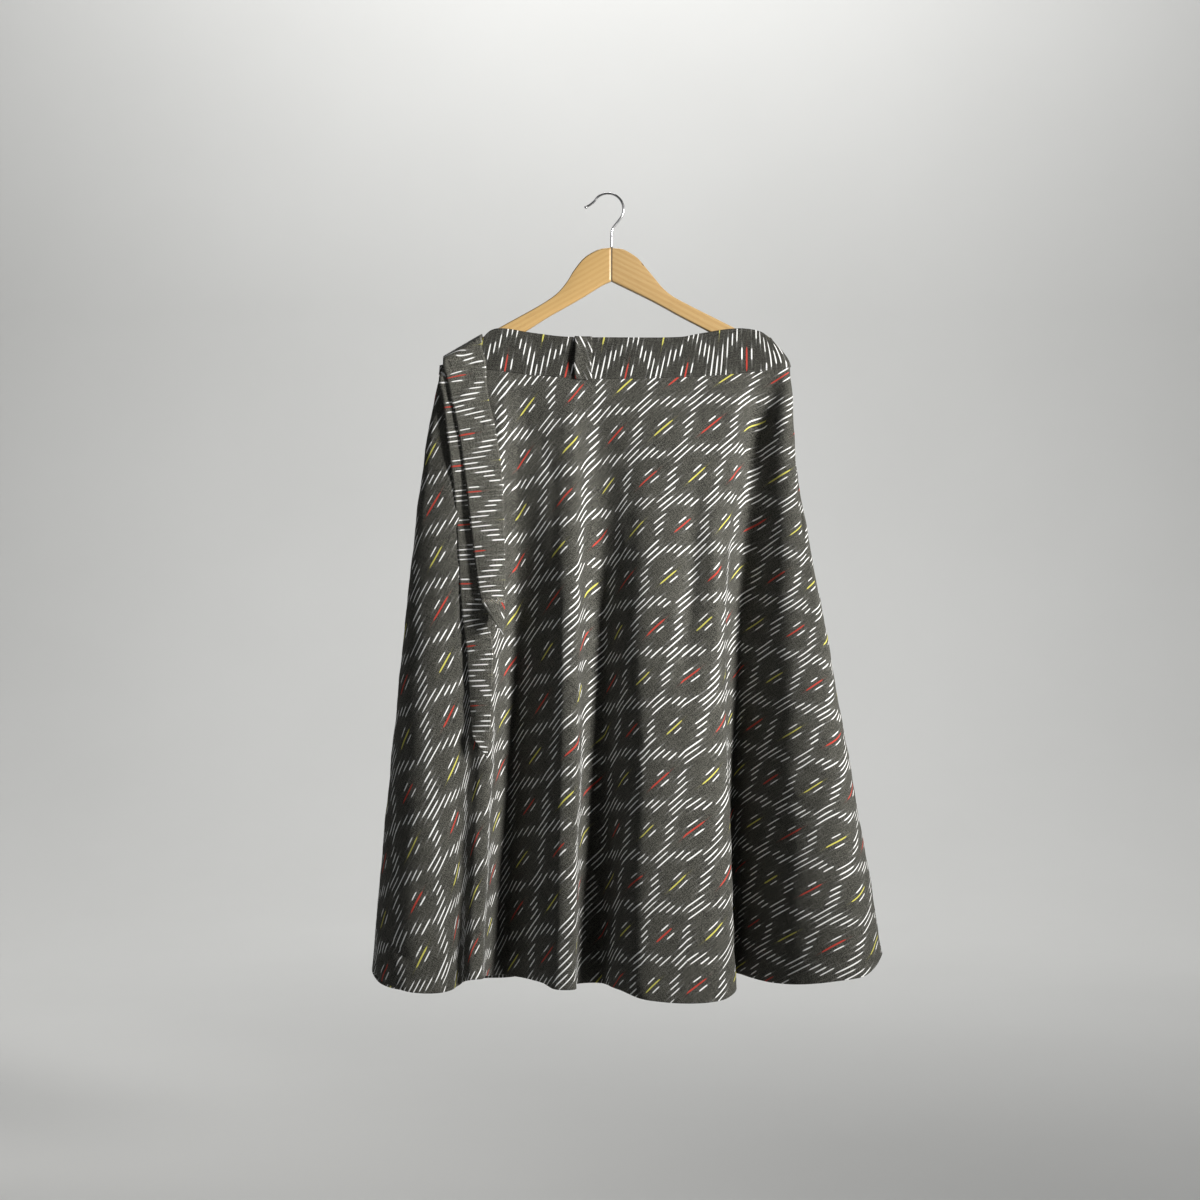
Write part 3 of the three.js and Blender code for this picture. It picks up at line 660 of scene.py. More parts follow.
def cloth_material(name, painted_light):
    """The ikat. Its second argument paints light and shade into the ground's colour. The band's ground is
    darker (painted shade) and the ties' ground is lighter (painted light), in place of the way warp and weft
    shine.
    """
    g = Graph(name)
    place = g.node("ShaderNodeUVMap")
    place.uv_map = "ikat"
    s, t, _ = g.split(place.outputs[0])
    drift = g.noise(g.vector(g.times(s, DRIFT_SCALE), g.times(t, DRIFT_SCALE), 0.0), 1.0, 1.0)
    s = g.add(s, g.spread(drift, LOOM_DRIFT))

    column = g.floor(g.add(g.over(s, DASH_PITCH), 0.5))
    k = g.math("WRAP", column, COLUMNS_IN_REPEAT / 2 + 0.5, -COLUMNS_IN_REPEAT / 2 + 0.5)
    kind_share = g.over(g.add(g.size(k), 0.5), len(IKAT_CHART))

    # the ground: slubs along both ways of the weave, and a salt-and-pepper of yarns
    slub_warp = g.noise(g.vector(g.times(s, SLUB_ACROSS), g.times(t, SLUB_ALONG), 1.0), 1.0)
    slub_weft = g.noise(g.vector(g.times(s, SLUB_ALONG), g.times(t, SLUB_ACROSS), 2.0), 1.0)
    pepper = g.noise(g.vector(s, t, 3.0), 0.95, 1.5, 0.6)
    cloudy = g.noise(g.vector(s, t, 4.0), 0.013)
    shade = g.line(slub_warp, 2.0, g.line(slub_weft, 1.8, g.line(pepper, 6.2, g.line(cloudy, 0.4, -4.18))))
    shade = g.greater(shade, 0.15)
    ground = g.node("ShaderNodeVectorMath")
    ground.operation = "SCALE"
    g.put(CHARCOAL, ground.inputs[0])
    # painted light and shade: the ground's grain is scaled darker or lighter for each copy of the cloth
    g.put(g.times(shade, painted_light), ground.inputs["Scale"])
    colour = ground.outputs[0]
    for which in (0, 1):
        mask, ink = ikat_dash(g, which, s, t, column, kind_share)
        colour = g.mix(mask, colour, ink)

    warp, weft = (g.math("SINE", g.times(place, 2 * math.pi / YARN_PITCH)) for place in (s, t))
    weave = g.line(pepper, 1.6, g.times(warp, weft))
    weave = g.line(g.add(slub_warp, slub_weft), 1.2, weave)
    return g.surface(
        Base_Color=colour, Normal=g.bump(weave, 0.00016, 0.8), Roughness=0.88, Specular_IOR_Level=0.18,
        Sheen_Weight=0.04, Sheen_Roughness=0.5)


def thread_material():
    g = Graph("sewing_thread")
    twist = g.noise(g.object_place(), 900.0)
    colour = g.mix(twist, (0.048, 0.047, 0.040, 1), (0.095, 0.092, 0.080, 1))
    return g.surface(Base_Color=colour, Normal=g.bump(twist, 0.0001), Roughness=0.7)


NICK_AT = (40.5, -90.0)  # in x and z, on the right half's face
NICK_HALF = (1.9, 4.6)
NICK_BROWN = (0.13, 0.07, 0.03, 1)


def wood_material(name, slope_degrees, tint, with_nick):
    """Varnished wood with its grain along the arm, which slopes down by slope_degrees towards its end."""
    g = Graph(name)
    place = g.object_place()
    slope = (0, math.radians(slope_degrees), 0)
    along_arm = g.node("ShaderNodeMapping", Vector=place, Rotation=slope).outputs[0]
    stretched = g.stretched(along_arm, 9, 120, 120)
    rings = g.node("ShaderNodeTexWave", Vector=stretched, Scale=0.42, Distortion=5.0, Detail=3.0)
    rings.bands_direction = "Z"
    bend = g.noise(g.stretched(along_arm, 5, 14, 14), 1.0)
    fibre = g.noise(g.stretched(along_arm, 40, 1500, 1500), 1.0)
    pores = g.noise(g.stretched(along_arm, 110, 2400, 2400), 1.0)
    light, honey, brown = tint
    colour = g.mix(g.fade(rings.outputs["Fac"], 0.1, 0.95, 0.0, 0.55), light, honey)
    colour = g.mix(g.fade(fibre, 0.42, 0.72, 0.0, 0.35), colour, honey)
    colour = g.mix(g.fade(pores, 0.62, 0.74, 0.0, 0.45), colour, brown)
    colour = g.mix(g.fade(bend, 0.35, 0.75, 0.0, 0.4), colour, honey)
    height = g.line(pores, -0.6, g.times(fibre, 0.5))
    if with_nick:
        x, _, z = g.split(place)
        x, z = g.less(x, NICK_AT[0]), g.less(z, NICK_AT[1])
        slanted = g.over(g.add(x, z), NICK_HALF[0])
        across = g.over(g.less(x, z), NICK_HALF[1])
        away = g.math("SQRT", g.add(g.times(slanted, slanted), g.times(across, across)))
        nick = g.fade(away, 1.25, 0.45)
        colour = g.mix(g.times(nick, 0.75), colour, NICK_BROWN)
        height = g.line(nick, -2.2, height)
    return g.surface(
        Base_Color=colour, Normal=g.bump(height, 0.00022, 0.7), Roughness=g.fade(fibre, 0.2, 0.8, 0.34, 0.5),
        Coat_Weight=0.25, Coat_Roughness=0.28)


def steel_material():
    g = Graph("bright_steel")
    drawn = g.noise(g.stretched(g.object_place(), 900, 900, 120), 1.0, 3.0)
    colour = g.mix(g.fade(drawn, 0.3, 0.8), (0.78, 0.78, 0.80, 1), (0.52, 0.51, 0.50, 1))
    roughness = g.fade(drawn, 0.2, 0.9, 0.14, 0.34)
    return g.surface(Base_Color=colour, Roughness=roughness, Normal=g.bump(drawn, 0.00003), Metallic=1.0)


def stage_material():
    g = Graph("pale_paper")
    place = g.object_place()
    colour = g.mix(g.noise(place, 1.4, 4.0), (0.60, 0.60, 0.585, 1), (0.65, 0.65, 0.635, 1))
    return g.surface(Base_Color=colour, Normal=g.bump(g.noise(place, 240.0), 0.0002, 0.3), Roughness=0.95)


COTTON = cloth_material("ikat_cotton", 1.0)
# The band's copy has a darker ground (painted shade) and the ties' copy a lighter one (painted light).
BAND_COTTON_PAINTED_SHADE = cloth_material("ikat_cotton_band_painted_shade", 0.68)
TIE_COTTON_PAINTED_LIGHT = cloth_material("ikat_cotton_ties_painted_light", 1.42)
THREAD = thread_material()
LEFT_TINT = (0.50, 0.33, 0.135, 1), (0.41, 0.25, 0.087, 1), (0.175, 0.093, 0.034, 1)
# The right half's colours are the left half's made darker: painted shade on the same wood.
RIGHT_TINT_PAINTED_SHADE = (0.44, 0.295, 0.128, 1), (0.355, 0.215, 0.080, 1), (0.16, 0.083, 0.031, 1)
WOOD_LEFT = wood_material("honey_wood_left", 30.0, LEFT_TINT, False)
WOOD_RIGHT = wood_material("honey_wood_right_painted_shade", -27.5, RIGHT_TINT_PAINTED_SHADE, True)
STEEL = steel_material()


def finish_piece(piece, slot, *nodes):
    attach(piece, "root")
    if nodes:
        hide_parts(*nodes)
    return piece


# ------ skirt panels
COLUMNS_PER_FOLD = 8
EDGE_COLUMNS = np.array([0.03, 0.08, 0.15])  # closer columns, by their cut from both ends
PANEL_ROWS = 128
ROW_CROWDING = 1.08
HEM_TURN = (30, 90, 150)  # degrees round the hem's fold
ALLOWANCE_START = 0.002
ALLOWANCE_ROWS = 9
TUCK = 3.5  # how far a panel reaches up inside the band


def cuts_between(first, last):
    """Columns from cut to cut, even between the folds, with closer ones beside both ends."""
    rows = FOLDS["cut"]
    inside = rows[(rows >= first) & (rows <= last)]
    columns = [np.linspace(a, b, COLUMNS_PER_FOLD, endpoint=False) for a, b in zip(inside[:-1], inside[1:])]
    columns += [[last], first + EDGE_COLUMNS, last - EDGE_COLUMNS]
    return np.unique(np.round(np.concatenate(columns), 4))


def panel(name, first, last):
    cut = np.clip(cuts_between(first, last)[None, :], first + SEAM_GAP_CUT, last - SEAM_GAP_CUT)
    drop = np.concatenate([[-TUCK / SKIRT_LENGTH], np.linspace(0, 1, PANEL_ROWS) ** ROW_CROWDING])[:, None]
    points, normals = panel_place(cut, drop)
    pattern = panel_pattern(cut, drop)
    grid, uv = [points], [pattern]
    for degrees in HEM_TURN:
        angle = math.radians(degrees)
        inwards, down = HEM_GAP / 2 * (1 - math.cos(angle)), HEM_GAP / 2 * math.sin(angle)
        grid.append(points[-1:] - normals[-1:] * inwards - np.array([0, 0, down]))
        uv.append(pattern[-1:])
    up = np.linspace(ALLOWANCE_START, HEM_ALLOWANCE / SKIRT_LENGTH, ALLOWANCE_ROWS)[:, None]
    inner, inner_out = panel_place(cut, 1 - up)
    grid.append(inner - inner_out * HEM_GAP)
    uv.append(panel_pattern(cut, 1 + up))
    return sheet_mesh(name, np.concatenate(grid), np.concatenate(uv), COTTON, CLOTH_THICKNESS)


front, back, underlap = (
    finish_piece(panel(name + "_gore", *span), "cloth", name + "_panel") for name, span in GORES.items())


# ------ waistband
BAND_HEIGHT = 53.0
BAND_LAP = 2.0  # how far it reaches down over the panels
BAND_COLUMNS = 8  # to a degree
BAND_TURN_START = 0.985  # how far up its top edge begins to turn in
BAND_TURN = (45, 90, 135)  # degrees round the top edge
BAND_RED_UP = 3.5  # the red dashes' middle above the seam
BAND_LEAN = 0.2
BAND_RED_AT = -57.6  # in x, the place of a red dash on the band's front
RIGHT_END = {"from": 95, "over": 75, "up": 13.0}  # where the band's right end turns to the dashes' line
BAND_CREASE_REACH = 0.6  # as a share of the band's height
BAND_CREASES = table("along width depth rise", [
    [6.4, 1.6, 0.9, 0.5], [122.9, 1.5, 0.7, 0.5], [-104, 9, 1.2, 0.55], [-150, 7, -0.8, 0.4],
    [70, 16, 0.9, 0.5], [165, 6, 0.8, 0.3], [-20, 12, 0.8, 0.4], [250, 8, 0.9, 0.5], [330, 12, 1, 0.5],
    [460, 10, 0.8, 0.4], [540, 12, 0.9, 0.5], [-330, 10, 0.8, 0.5],
])


def band_relief(cut, rise):
    along = waist_run(cut)
    relief = 0.22 * np.sin(along / 11.5) * np.sin(np.pi * np.clip(rise, 0, 1))
    for edge in (0, 1):
        near_edge = np.exp(-np.abs(edge - rise) * BAND_HEIGHT / BAND_PUCKER_REACH)
        relief = relief + 0.22 * wandering_wave(along, *BAND_PUCKER) * near_edge
    for at, width, depth, middle in zip(*BAND_CREASES.values()):
        relief -= hump(along - at, depth, width) * hump(rise - middle, 1, BAND_CREASE_REACH)
    for seam in (LEFT_SEAM_CUT, RIGHT_SEAM_CUT):
        relief -= hump(waist_run(cut - seam), *BAND_SEAM)
    return relief


def band_pattern(cut, up):
    """The band is cut a little off the dashes' line, but for its right end."""
    along = waist_run(cut)
    right_end = smooth((along - RIGHT_END["from"]) / RIGHT_END["over"])
    t = up - BAND_RED_UP - RIGHT_END["up"] * right_end
    return np.stack([along + RING["middle"] - BAND_RED_AT - BAND_LEAN * (1 - right_end) * t, t], -1)


def band_points(cut, rise, layer):
    """A layer of the band: 1 the outer one, -1 the inner one, or between them round the top edge."""
    cut, rise = np.broadcast_arrays(np.asarray(cut, float), np.asarray(rise, float))
    normal = outward(band_base, cut, np.clip(rise, 0.02, 0.98), False)
    return band_base(cut, rise) + normal * (band_relief(cut, rise) + BAND_HALF_GAP * layer)[..., None], normal


def waistband(name, first, last):
    cut = np.linspace(first + SEAM_GAP_CUT, last - SEAM_GAP_CUT, int((last - first) * BAND_COLUMNS))[None, :]
    # each row's rise, its layer, and its rise in the band laid flat
    rows = [(rise, 1.0, rise) for rise in (-BAND_LAP / BAND_HEIGHT, *np.linspace(0, BAND_TURN_START, 15))]
    for degrees in BAND_TURN:
        angle = math.radians(degrees)
        rise = BAND_TURN_START + math.sin(angle) * BAND_HALF_GAP / BAND_HEIGHT
        rows.append((rise, math.cos(angle), rise))
    rows += [(rise, -1.0, 2 - rise) for rise in np.linspace(BAND_TURN_START, 0, 9)]
    rise, layer, flat_rise = np.array(rows).T[..., None]
    points, _ = band_points(cut, rise, layer)
    return sheet_mesh(name, points, band_pattern(cut, flat_rise * BAND_HEIGHT), BAND_COTTON_PAINTED_SHADE, BAND_THICKNESS)


band_front, band_back, band_under = (
    finish_piece(waistband(name + "_band", *span), "cloth", "waistband_" + name)
    for name, span in GORES.items())


# ------ ties
SADDLE_RIGHT_X = -165
SADDLE_LEFT_X = -214
ARM_TOP = {"inner": (-142, -170.2), "outer": (-211, -210)}  # the left arm's upper edge, x and z
TIE_COLUMNS = 14
TIE_ROWS = 150
# A tie's places: y and the lift over the arm on the saddle, x and z of the left and the right edge at the
# back, and x, y and z of the left and the right edge in front.
TIES = {
    "tie_lower": {
        "saddle": [(11.4, -11), (9.6, -2.6), (0, 2.2), (-9.6, -2.6), (-11.6, -11)],
        "back": [
            (27, -230, 27, -182), (-60, -231, -60, -183), (-134, -232, -134, -184),
            (-162, -235, -150, -187), (-188, -238, -157, -193), (-208, -235, -162, -198),
        ],
        "front": [
            (-219.5, -12.4, -236, -166, -12.4, -216),
            (-214.5, -18, -262, -166, -18, -256),
            (-209.5, -26, -301, -162, -26, -299),
            (-203.5, -33, -346, -156, -33, -346),
            (-198.4, -35, -391, -151, -41, -391),
            (-193.3, -44, -467, -147, -52.5, -467),
            (-190.7, -48.5, -505, -149, -58, -505),
            (-187, -53, -540, -154.5, -62, -540),
            (-182, -57.5, -578, -148.5, -67, -578),
            (-178, -63.5, -630, -149.5, -73.5, -630),
            (-174, -69.5, -680, -152, -80, -690),
            (-172.8, -75, -691, -155, -83, -715),
        ],
        "cupping": 2,
        "red_at": -344.0,  # the height on its front of a red dash's middle
        "creases": table("z turn width depth", [
            [-585, 24, 5, 1.0], [-603, -18, 4, -0.8], [-628, 12, 6, 1.1], [-655, -30, 5, -0.9],
            [-560, 8, 4, 0.6], [-300, 15, 6, 0.5], [-420, -12, 7, 0.5],
        ]),
        "turned_below": -math.inf,
    },
    "tie_upper": {
        "saddle": [(14.6, -11), (12, -0.4), (0, 4.8), (-12, -0.4), (-14.6, -11)],
        "back": [
            (-134.9, -229, -134.9, -180), (-150, -232, -146, -183), (-166, -236, -152, -188),
            (-190, -239, -158, -194), (-209, -236, -162, -198),
        ],
        "front": [
            (-210, -15.4, -236, -160, -15.4, -214),
            (-204, -21, -260, -157.5, -21, -252),
            (-194.6, -29, -302.6, -147, -29, -300),
            (-185.6, -37.5, -360, -138, -38.5, -358),
            (-179.7, -44.5, -406, -135.7, -47, -406),
            (-172.8, -53, -460, -133.5, -56.5, -460),
            (-165.5, -61.5, -508, -133, -66, -520),
            (-162, -66, -524, -134.4, -88, -562),
        ],
        "cupping": 3,
        "red_at": -304.0,
        "creases": table("z turn width depth", [
            [-228, 62, 3.0, 1.3], [-270, 58, 3.0, 0.9], [-250, 40, 7, -0.5], [-372, 10, 6, 0.5],
            [-450, -14, 6, 0.5], [-518, -3, 2.4, 1.6], [-340, -20, 8, 0.4],
        ]),
        "turned_below": -520.0,
    },
}
TIE_WIDTH = 50.0
TIE_STITCH_IN = 2.2
TIE_FRONT_Y = -12  # a tie's front is what lies before this
TIE_RED_IN = 5.0  # the red dashes' middle from a tie's left edge
TURNED_END = 62  # degrees by which the cloth of a tie's turned end lies another way


def arm_top(x):
    (x0, z0), (x1, z1) = ARM_TOP["inner"], ARM_TOP["outer"]
    return z0 + (x - x0) * (z1 - z0) / (x1 - x0)


def tie_grid(tie):
    """The tie's middle surface, from behind the band over the arm and down in front."""
    y = tie["saddle"][0][0]
    edges = [((lx, y, lz), (rx, y, rz)) for lx, lz, rx, rz in tie["back"]]
    for saddle_y, lift in tie["saddle"]:
        edges.append([(x, saddle_y, arm_top(x) + lift) for x in (SADDLE_LEFT_X, SADDLE_RIGHT_X)])
    edges += [(row[:3], row[3:]) for row in tie["front"]]
    edges = np.array(edges, float)
    shares = np.linspace(0, 1, TIE_ROWS)
    left, right = (curve_points(edges[:, side], shares)[:, None] for side in (0, 1))
    across = np.linspace(0, 1, TIE_COLUMNS)[:, None]
    grid = left + (right - left) * across
    first_front = len(tie["back"]) + len(tie["saddle"])
    hanging = smooth((shares * (len(edges) - 1) - first_front) / (len(edges) - 1 - first_front))
    grid[..., 1] -= tie["cupping"] * hanging[:, None] * np.sin(np.pi * across[:, 0])
    return grid


def grid_normals(grid):
    return unit(np.cross(np.gradient(grid, axis=0), np.gradient(grid, axis=1)))


def tie_relief(tie, grid, middle, run, in_front):
    """The tie's creases, its stitches' troughs and the pucker beside them."""
    width = np.linalg.norm(grid[:, -1] - grid[:, 0], axis=1)[:, None]
    across = np.linspace(0, 1, TIE_COLUMNS) * width
    from_edge = np.minimum(across, width - across)
    relief = 0.18 * wandering_wave(run[:, None], *TIE_PUCKER) * np.exp(-from_edge / TIE_PUCKER_REACH)
    relief -= hump(from_edge - TIE_STITCH_IN, *TIE_STITCH)
    for z, turn, crease_width, depth in zip(*tie["creases"].values()):
        off, _ = turned(grid[..., 2] - z, grid[..., 0] - middle[:, None, 0], turn)
        relief -= hump(off, depth, crease_width) * in_front[:, None]
    return relief


def tie_pattern(tie, grid, middle, run, in_front):
    """The ikat's place along the tie and across it, turned at the tie's turned end."""
    nearest = np.argmin(np.abs(middle[:, 2] - tie["red_at"]) + 1000.0 * ~in_front)
    ahead = unit(np.gradient(middle, axis=0))[:, None]
    offset = grid - middle[:, None]
    forward = (offset * ahead).sum(-1)
    beside = np.linalg.norm(offset - forward[..., None] * ahead, axis=-1)
    s = (run - run[nearest])[:, None] + forward
    t = beside * np.sign(np.arange(TIE_COLUMNS) - TIE_COLUMNS // 2) + TIE_WIDTH / 2 - TIE_RED_IN
    below = (grid[..., 2] < tie["turned_below"])[..., None]
    return np.where(below, np.stack(turned(s, t, TURNED_END), -1), np.stack([s, t], -1))


def edge_runs(points, normals, inwards, lift):
    """Stitch runs along a strip's two edges, a share inwards from its last column to the one before."""
    runs = []
    for edge, inner in ((0, 1), (-1, -2)):
        line = points[:, edge] + (points[:, inner] - points[:, edge]) * inwards
        runs.append((line + normals[:, inner] * lift, normals[:, inner]))
    return runs


def tie_piece(name, node, tie):
    """The tie, and its stitch runs."""
    grid = tie_grid(tie)
    normals = grid_normals(grid)
    middle = grid[:, TIE_COLUMNS // 2]
    shape = (tie, grid, middle, distance_along(middle), middle[:, 1] < TIE_FRONT_Y)
    points = grid + normals * tie_relief(*shape)[..., None]
    piece = sheet_mesh(name, points, tie_pattern(*shape), TIE_COTTON_PAINTED_LIGHT, TIE_THICKNESS)
    return finish_piece(piece, "cloth", node), edge_runs(points, normals, 0.62, TIE_THICKNESS / 2 + 0.1)


tie_pieces = {}
strip_runs = []
for tie_name, tie in TIES.items():
    tie_pieces[tie_name], runs = tie_piece(tie_name.replace("tie_", "") + "_tie", tie_name, tie)
    strip_runs += runs


# ------ belt loop
LOOP = {"left": -46.3, "right": -24.5, "stand": 3.0, "foot_stand": 1.0, "below": 3.5, "above": 1.2}
LOOP_BASE_STAND = 2.1
LOOP_LEFT_STAND = 1.6  # how much more its left edge stands out
LOOP_CUPPING = 0.5
LOOP_SWAY = 0.8
LOOP_ROWS = 26
LOOP_COLUMNS = 9
LOOP_TURN = 27  # degrees of its cloth from the dashes' line
LOOP_RUN = 46


def belt_loop():
    share = np.linspace(0, 1, LOOP_ROWS)[:, None]
    across = np.linspace(0, 1, LOOP_COLUMNS)[None, :]
    x = LOOP["left"] + (LOOP["right"] - LOOP["left"]) * across + 0 * share
    cut = np.degrees((x - RING["middle"]) / WAIST_RADIUS)
    top = read_table(BAND, "top", cut) + LOOP["above"]
    foot = read_table(BAND, "seam", cut) - LOOP["below"]
    bow = np.sin(np.pi * share)
    stand = LOOP_BASE_STAND + (LOOP["stand"] + LOOP_LEFT_STAND * (1 - across) ** 2) * bow
    stand = stand + LOOP["foot_stand"] * share - LOOP_CUPPING * np.cos(np.pi * (2 * across - 1))
    sway = LOOP_SWAY * np.sin(2.2 * np.pi * share)
    points = np.stack([x + sway, RING["front"] - stand, top + (foot - top) * share], -1)
    s, t = turned(x - (LOOP["left"] + LOOP["right"]) / 2, LOOP_RUN * (share - 0.5) + 0 * x, LOOP_TURN)
    pattern = np.stack([s + 3 * DASH_PITCH, t], -1)  # the plain ground between the dashes
    piece = sheet_mesh("loop_strip", points, pattern, COTTON, LOOP_THICKNESS)
    return piece, edge_runs(points, grid_normals(points), 0.7, LOOP_THICKNESS / 2 + THREAD_LIFT)


loop, loop_runs = belt_loop()
finish_piece(loop, "cloth", "belt_loop")


# ------ sewing
HEM_STITCHES = 14  # points of a stitch run to a degree
BAND_STITCHES = 6
EDGE_DROPS = np.linspace(0.01, 0.995, 200)
BAND_STITCHES_AT = (0.0, 0.955)


def panel_run(cut, drop):
    points, normals = panel_place(cut, drop)
    return points + normals * (CLOTH_THICKNESS / 2 + 0.06), normals


def band_run(first, last, rise):
    cut = np.linspace(first, last, int((last - first) * BAND_STITCHES))
    points, normals = band_points(cut, rise, 1.0)
    return points + normals * (BAND_THICKNESS / 2 + THREAD_LIFT), normals


hem_runs = []
band_runs = []
for first, last in sorted(GORES.values()):
    cut = np.linspace(first + 0.1, last - 0.1, int((last - first) * HEM_STITCHES))
    hem_runs.append(panel_run(cut, 1 - HEM_STITCH_UP / SKIRT_LENGTH))
    band_runs += [band_run(first + 0.2, last - 0.2, rise) for rise in BAND_STITCHES_AT]
for edge, inwards in ((FIRST_CUT, 1), (LAST_CUT, -1)):
    in_from_edge = np.degrees(FREE_EDGE_STITCH / (WAIST_RADIUS + SKIRT_LENGTH * EDGE_DROPS))
    hem_runs.append(panel_run(edge + inwards * in_from_edge, EDGE_DROPS))

finish_piece(stitch_mesh("hem_stitching", hem_runs, 3.0, 2.2, 0.2), "cloth")
band_stitches = finish_piece(stitch_mesh("band_stitching", band_runs), "cloth")
tie_stitches = finish_piece(stitch_mesh("tie_stitching", strip_runs + loop_runs), "cloth")


# ------ hanger
ARM_THICKNESS = 12.0
ARM_BEVEL = 3.0
ARMS = {  # each outline's distance out from the middle, and z
    "left": {
        "side": -1,
        "upper": [
            (0, -68.4), (11.8, -69.4), (24.6, -74.8), (35.3, -82.4), (48, -98.3),
            (56, -111.5), (67.8, -125.7), (84.5, -138), (142, -170.2), (211, -210),
        ],
        "lower": [
            (0, -111.4), (11.8, -117), (34.3, -131), (53.9, -142.3), (83.3, -159), (107.8, -174.6),
            (211, -233),
        ],
    },
    "right": {
        "side": 1,
        "upper": [
            (0, -68.4), (14.5, -70.1), (24.8, -75.3), (35, -82.7), (44, -93.5),
            (54.5, -106.1), (65.9, -119.8), (77.3, -129.5), (100.2, -142.1), (157.3, -170.9), (207, -197.6),
        ],
        "lower": [
            (0, -111.4), (26.9, -124.4), (54.5, -138.1), (88.8, -156.9), (122.9, -174.6), (207, -218.4),
        ],
    },
}
ARM_STATIONS = 90
ARM_TIP_STEPS = 8
ARM_TIP_LENGTH = 7.0
TIP_GAP = 0.5  # from the last station before the rounded tip
TIP_HEIGHT = 0.42  # what the very tip keeps of the arm's height, and in the next line of its depth
TIP_DEPTH = 0.55
BUTT_GAP = 0.15  # from the hanger's middle to each half
CORNER_STEPS = 6


def even_points(rows):
    """Points for an arm's stations at even distances along the curve through rows."""
    fine = curve_points([(out, 0, z) for out, z in rows], np.linspace(0, 1, 1200))
    run = distance_along(fine)
    return points_at(np.linspace(0, run[-1], ARM_STATIONS), run, fine)


def arm_section(height):
    """A rounded rectangle: places up the arm's height, and in its depth, all round."""
    half = ARM_THICKNESS / 2
    r = min(ARM_BEVEL, height / 2 * 0.98)
    outline = []
    for corner, (up, fore) in enumerate(((1, -1), (-1, -1), (-1, 1), (1, 1))):
        for i in range(CORNER_STEPS + 1):
            angle = math.radians(90.0 * (corner + i / CORNER_STEPS))
            across = fore * (half - r) - r * math.sin(angle)
            outline.append((up * (height / 2 - r) + r * math.cos(angle), across))
    return np.array(outline)


def hanger_half(name, arm, material, node):
    upper, lower = even_points(arm["upper"]), even_points(arm["lower"])
    middle, half = (upper + lower) / 2, (upper - lower) / 2
    ahead = unit(middle[-1] - middle[-2])
    plain = (middle - middle[-1]) @ ahead < -ARM_TIP_LENGTH - TIP_GAP
    turn = np.linspace(0, np.pi / 2, ARM_TIP_STEPS + 1)[:, None]
    tip_middle = middle[-1] + ahead * ARM_TIP_LENGTH * (np.sin(turn) - 1)
    tip_half = half[-1] * (TIP_HEIGHT + (1 - TIP_HEIGHT) * np.cos(turn))
    tip_depth = TIP_DEPTH + (1 - TIP_DEPTH) * np.cos(turn[:, 0])
    rings = []
    for centre, reach, depth in zip(
            np.vstack([middle[plain], tip_middle]), np.vstack([half[plain], tip_half]),
            np.concatenate([np.ones(plain.sum()), tip_depth])):
        outline = arm_section(2 * np.linalg.norm(reach))
        ring = centre + outline[:, :1] * unit(reach)
        ring[:, 1] += outline[:, 1] * depth
        ring[:, 0] = arm["side"] * (ring[:, 0] + BUTT_GAP)
        rings.append(ring[::arm["side"]])
    return finish_piece(ring_mesh(name, np.array([rings]), material), "wood", node)


hanger_half("left_arm", ARMS["left"], WOOD_LEFT, "hanger_left")
hanger_half("right_arm", ARMS["right"], WOOD_RIGHT, "hanger_right")


# ------ hook
WIRE_RADIUS = 1.5
WIRE_SIDES = 20
HOOK_STEPS = 150
HOOK_EYE = {"x": -4, "z": -18.5, "radius": 20}
EYE_DEGREES = range(-40, 151, 19)
NECK = [(0.4, -68.1), (0.6, -56), (1.6, -45), (6.6, -37.3)]
HOOK_TIP = [(-26.4, -12.8), (-30.5, -15.2)]
BALL_RADIUS = 2.1
BALL_DEGREES = np.arange(20, 181, 16)
BALL_SUNK = 0.2  # how far the ball's first ring is back along the wire
BALL_LEAST = 0.05


def hook():
    eye = []
    for degrees in EYE_DEGREES:
        x, z = turned(HOOK_EYE["radius"], 0, degrees)
        eye.append((HOOK_EYE["x"] + x, HOOK_EYE["z"] + z))
    line = curve_points([(x, 0, z) for x, z in NECK + eye + HOOK_TIP], np.linspace(0, 1, HOOK_STEPS))
    ahead = unit(np.gradient(line, axis=0))
    angle = np.radians(BALL_DEGREES)[:, None]
    ball = line[-1] + ahead[-1] * (BALL_RADIUS * (1 - np.cos(angle)) - BALL_SUNK)
    ball_wide = np.maximum(BALL_RADIUS * np.sin(angle), BALL_LEAST)
    line = np.vstack([line, ball])
    ahead = np.vstack([ahead, np.repeat(ahead[-1:], len(ball), 0)])
    wide = np.vstack([np.full((HOOK_STEPS, 1), WIRE_RADIUS), ball_wide])[:, None]
    turn = np.linspace(0, 2 * np.pi, WIRE_SIDES, endpoint=False)[:, None]
    round_part = np.cross(ahead, (0, 1, 0))[:, None] * np.cos(turn) + np.array([0, 1, 0]) * np.sin(turn)
    return ring_mesh("hook_wire", (line[:, None] + round_part * wide)[None], STEEL)


finish_piece(hook(), "steel", "hanger_hook")


# ------ stage, light and camera
FLOOR_Z = -1360.0
SWEEP = {"front": -6000.0, "back": 4800.0, "radius": 1800.0, "top": 4000.0, "half_width": 6000.0}
CAMERA_PLACE = (-0.0141, -3.0, -0.519)
CAMERA_FOCAL = 70.3


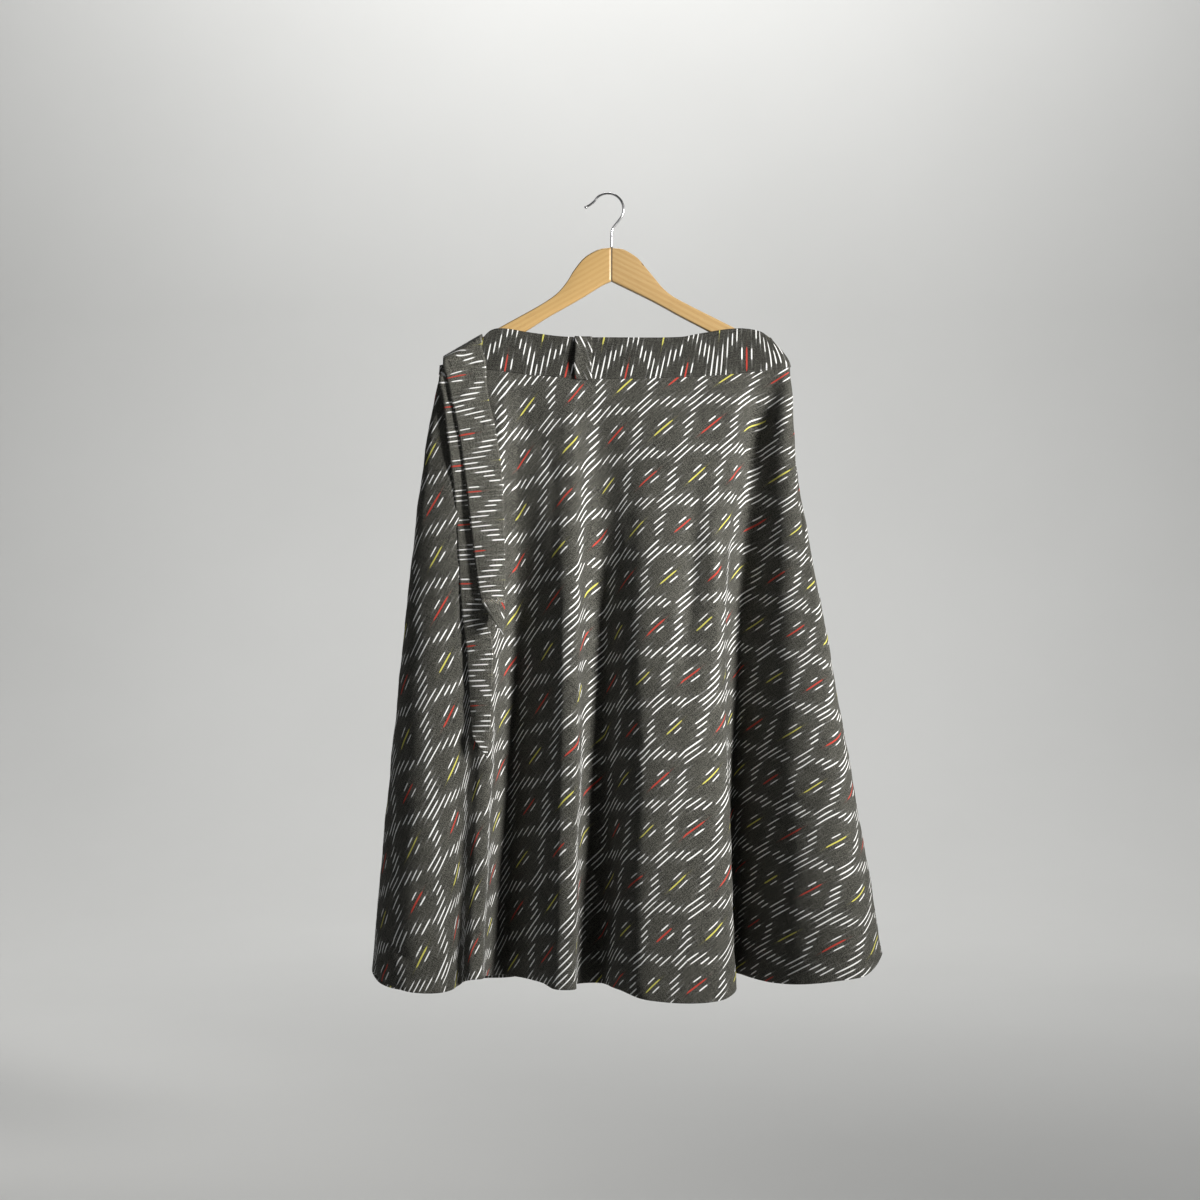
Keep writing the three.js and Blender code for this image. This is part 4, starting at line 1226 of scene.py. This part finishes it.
def sweep():
    """A floor that curves up into a wall behind the skirt."""
    profile = [(SWEEP["front"], FLOOR_Z), (SWEEP["back"] - SWEEP["radius"], FLOOR_Z)]
    for degrees in range(6, 91, 6):
        forward, down = turned(SWEEP["radius"], 0, degrees)[::-1]
        profile.append((SWEEP["back"] - SWEEP["radius"] + forward, FLOOR_Z + SWEEP["radius"] - down))
    profile.append((SWEEP["back"], SWEEP["top"]))
    points = np.array([(side * SWEEP["half_width"], y, z) for y, z in profile for side in (-1, 1)])
    faces = [(2 * i, 2 * i + 1, 2 * i + 3, 2 * i + 2) for i in range(len(profile) - 1)]
    add_mesh("sweep", points, faces, stage_material())


def add_lamp(name, kind, place, aim, watts, colour):
    light = bpy.data.lights.new(name, kind)
    light.energy = watts
    light.color = colour
    lamp = add_object(name, light)
    lamp.location = place
    lamp.rotation_euler = (Vector(aim) - Vector(place)).to_track_quat("-Z", "Y").to_euler()
    return light


def add_disk(name, place, aim, size, watts, colour):
    light = add_lamp(name, "AREA", place, aim, watts, colour)
    light.shape = "DISK"
    light.size = size


sweep()
key = add_lamp("key", "SPOT", (2.68, -2.09, -0.16), (-0.12, 0.0, -0.41), 1110, (1.0, 0.985, 0.965))
key.shadow_soft_size = 0.34
key.spot_size = math.radians(34)
key.spot_blend = 1.0
add_disk("fill", (-1.9, -2.6, 0.9), (0.0, 0.0, -0.60), 2.0, 11, (0.96, 0.98, 1.0))
add_disk("backdrop", (0.0, 2.3, 3.4), (0.0, 4.8, -0.4), 2.4, 195, (1.0, 1.0, 1.0))

world = bpy.data.worlds.new("studio")
world.use_nodes = True
background = world.node_tree.nodes["Background"]
background.inputs[0].default_value = (0.95, 0.97, 1.0, 1)
background.inputs[1].default_value = 0.06
bpy.context.scene.world = world

lens = bpy.data.cameras.new("camera")
lens.lens = CAMERA_FOCAL
lens.sensor_width = 36.0
camera = add_object("camera", lens)
camera.location = CAMERA_PLACE
camera.rotation_euler = (math.pi / 2, 0, 0)
bpy.context.scene.camera = camera

bpy.context.scene.view_settings.view_transform = "Standard"

bpy.context.view_layer.update()
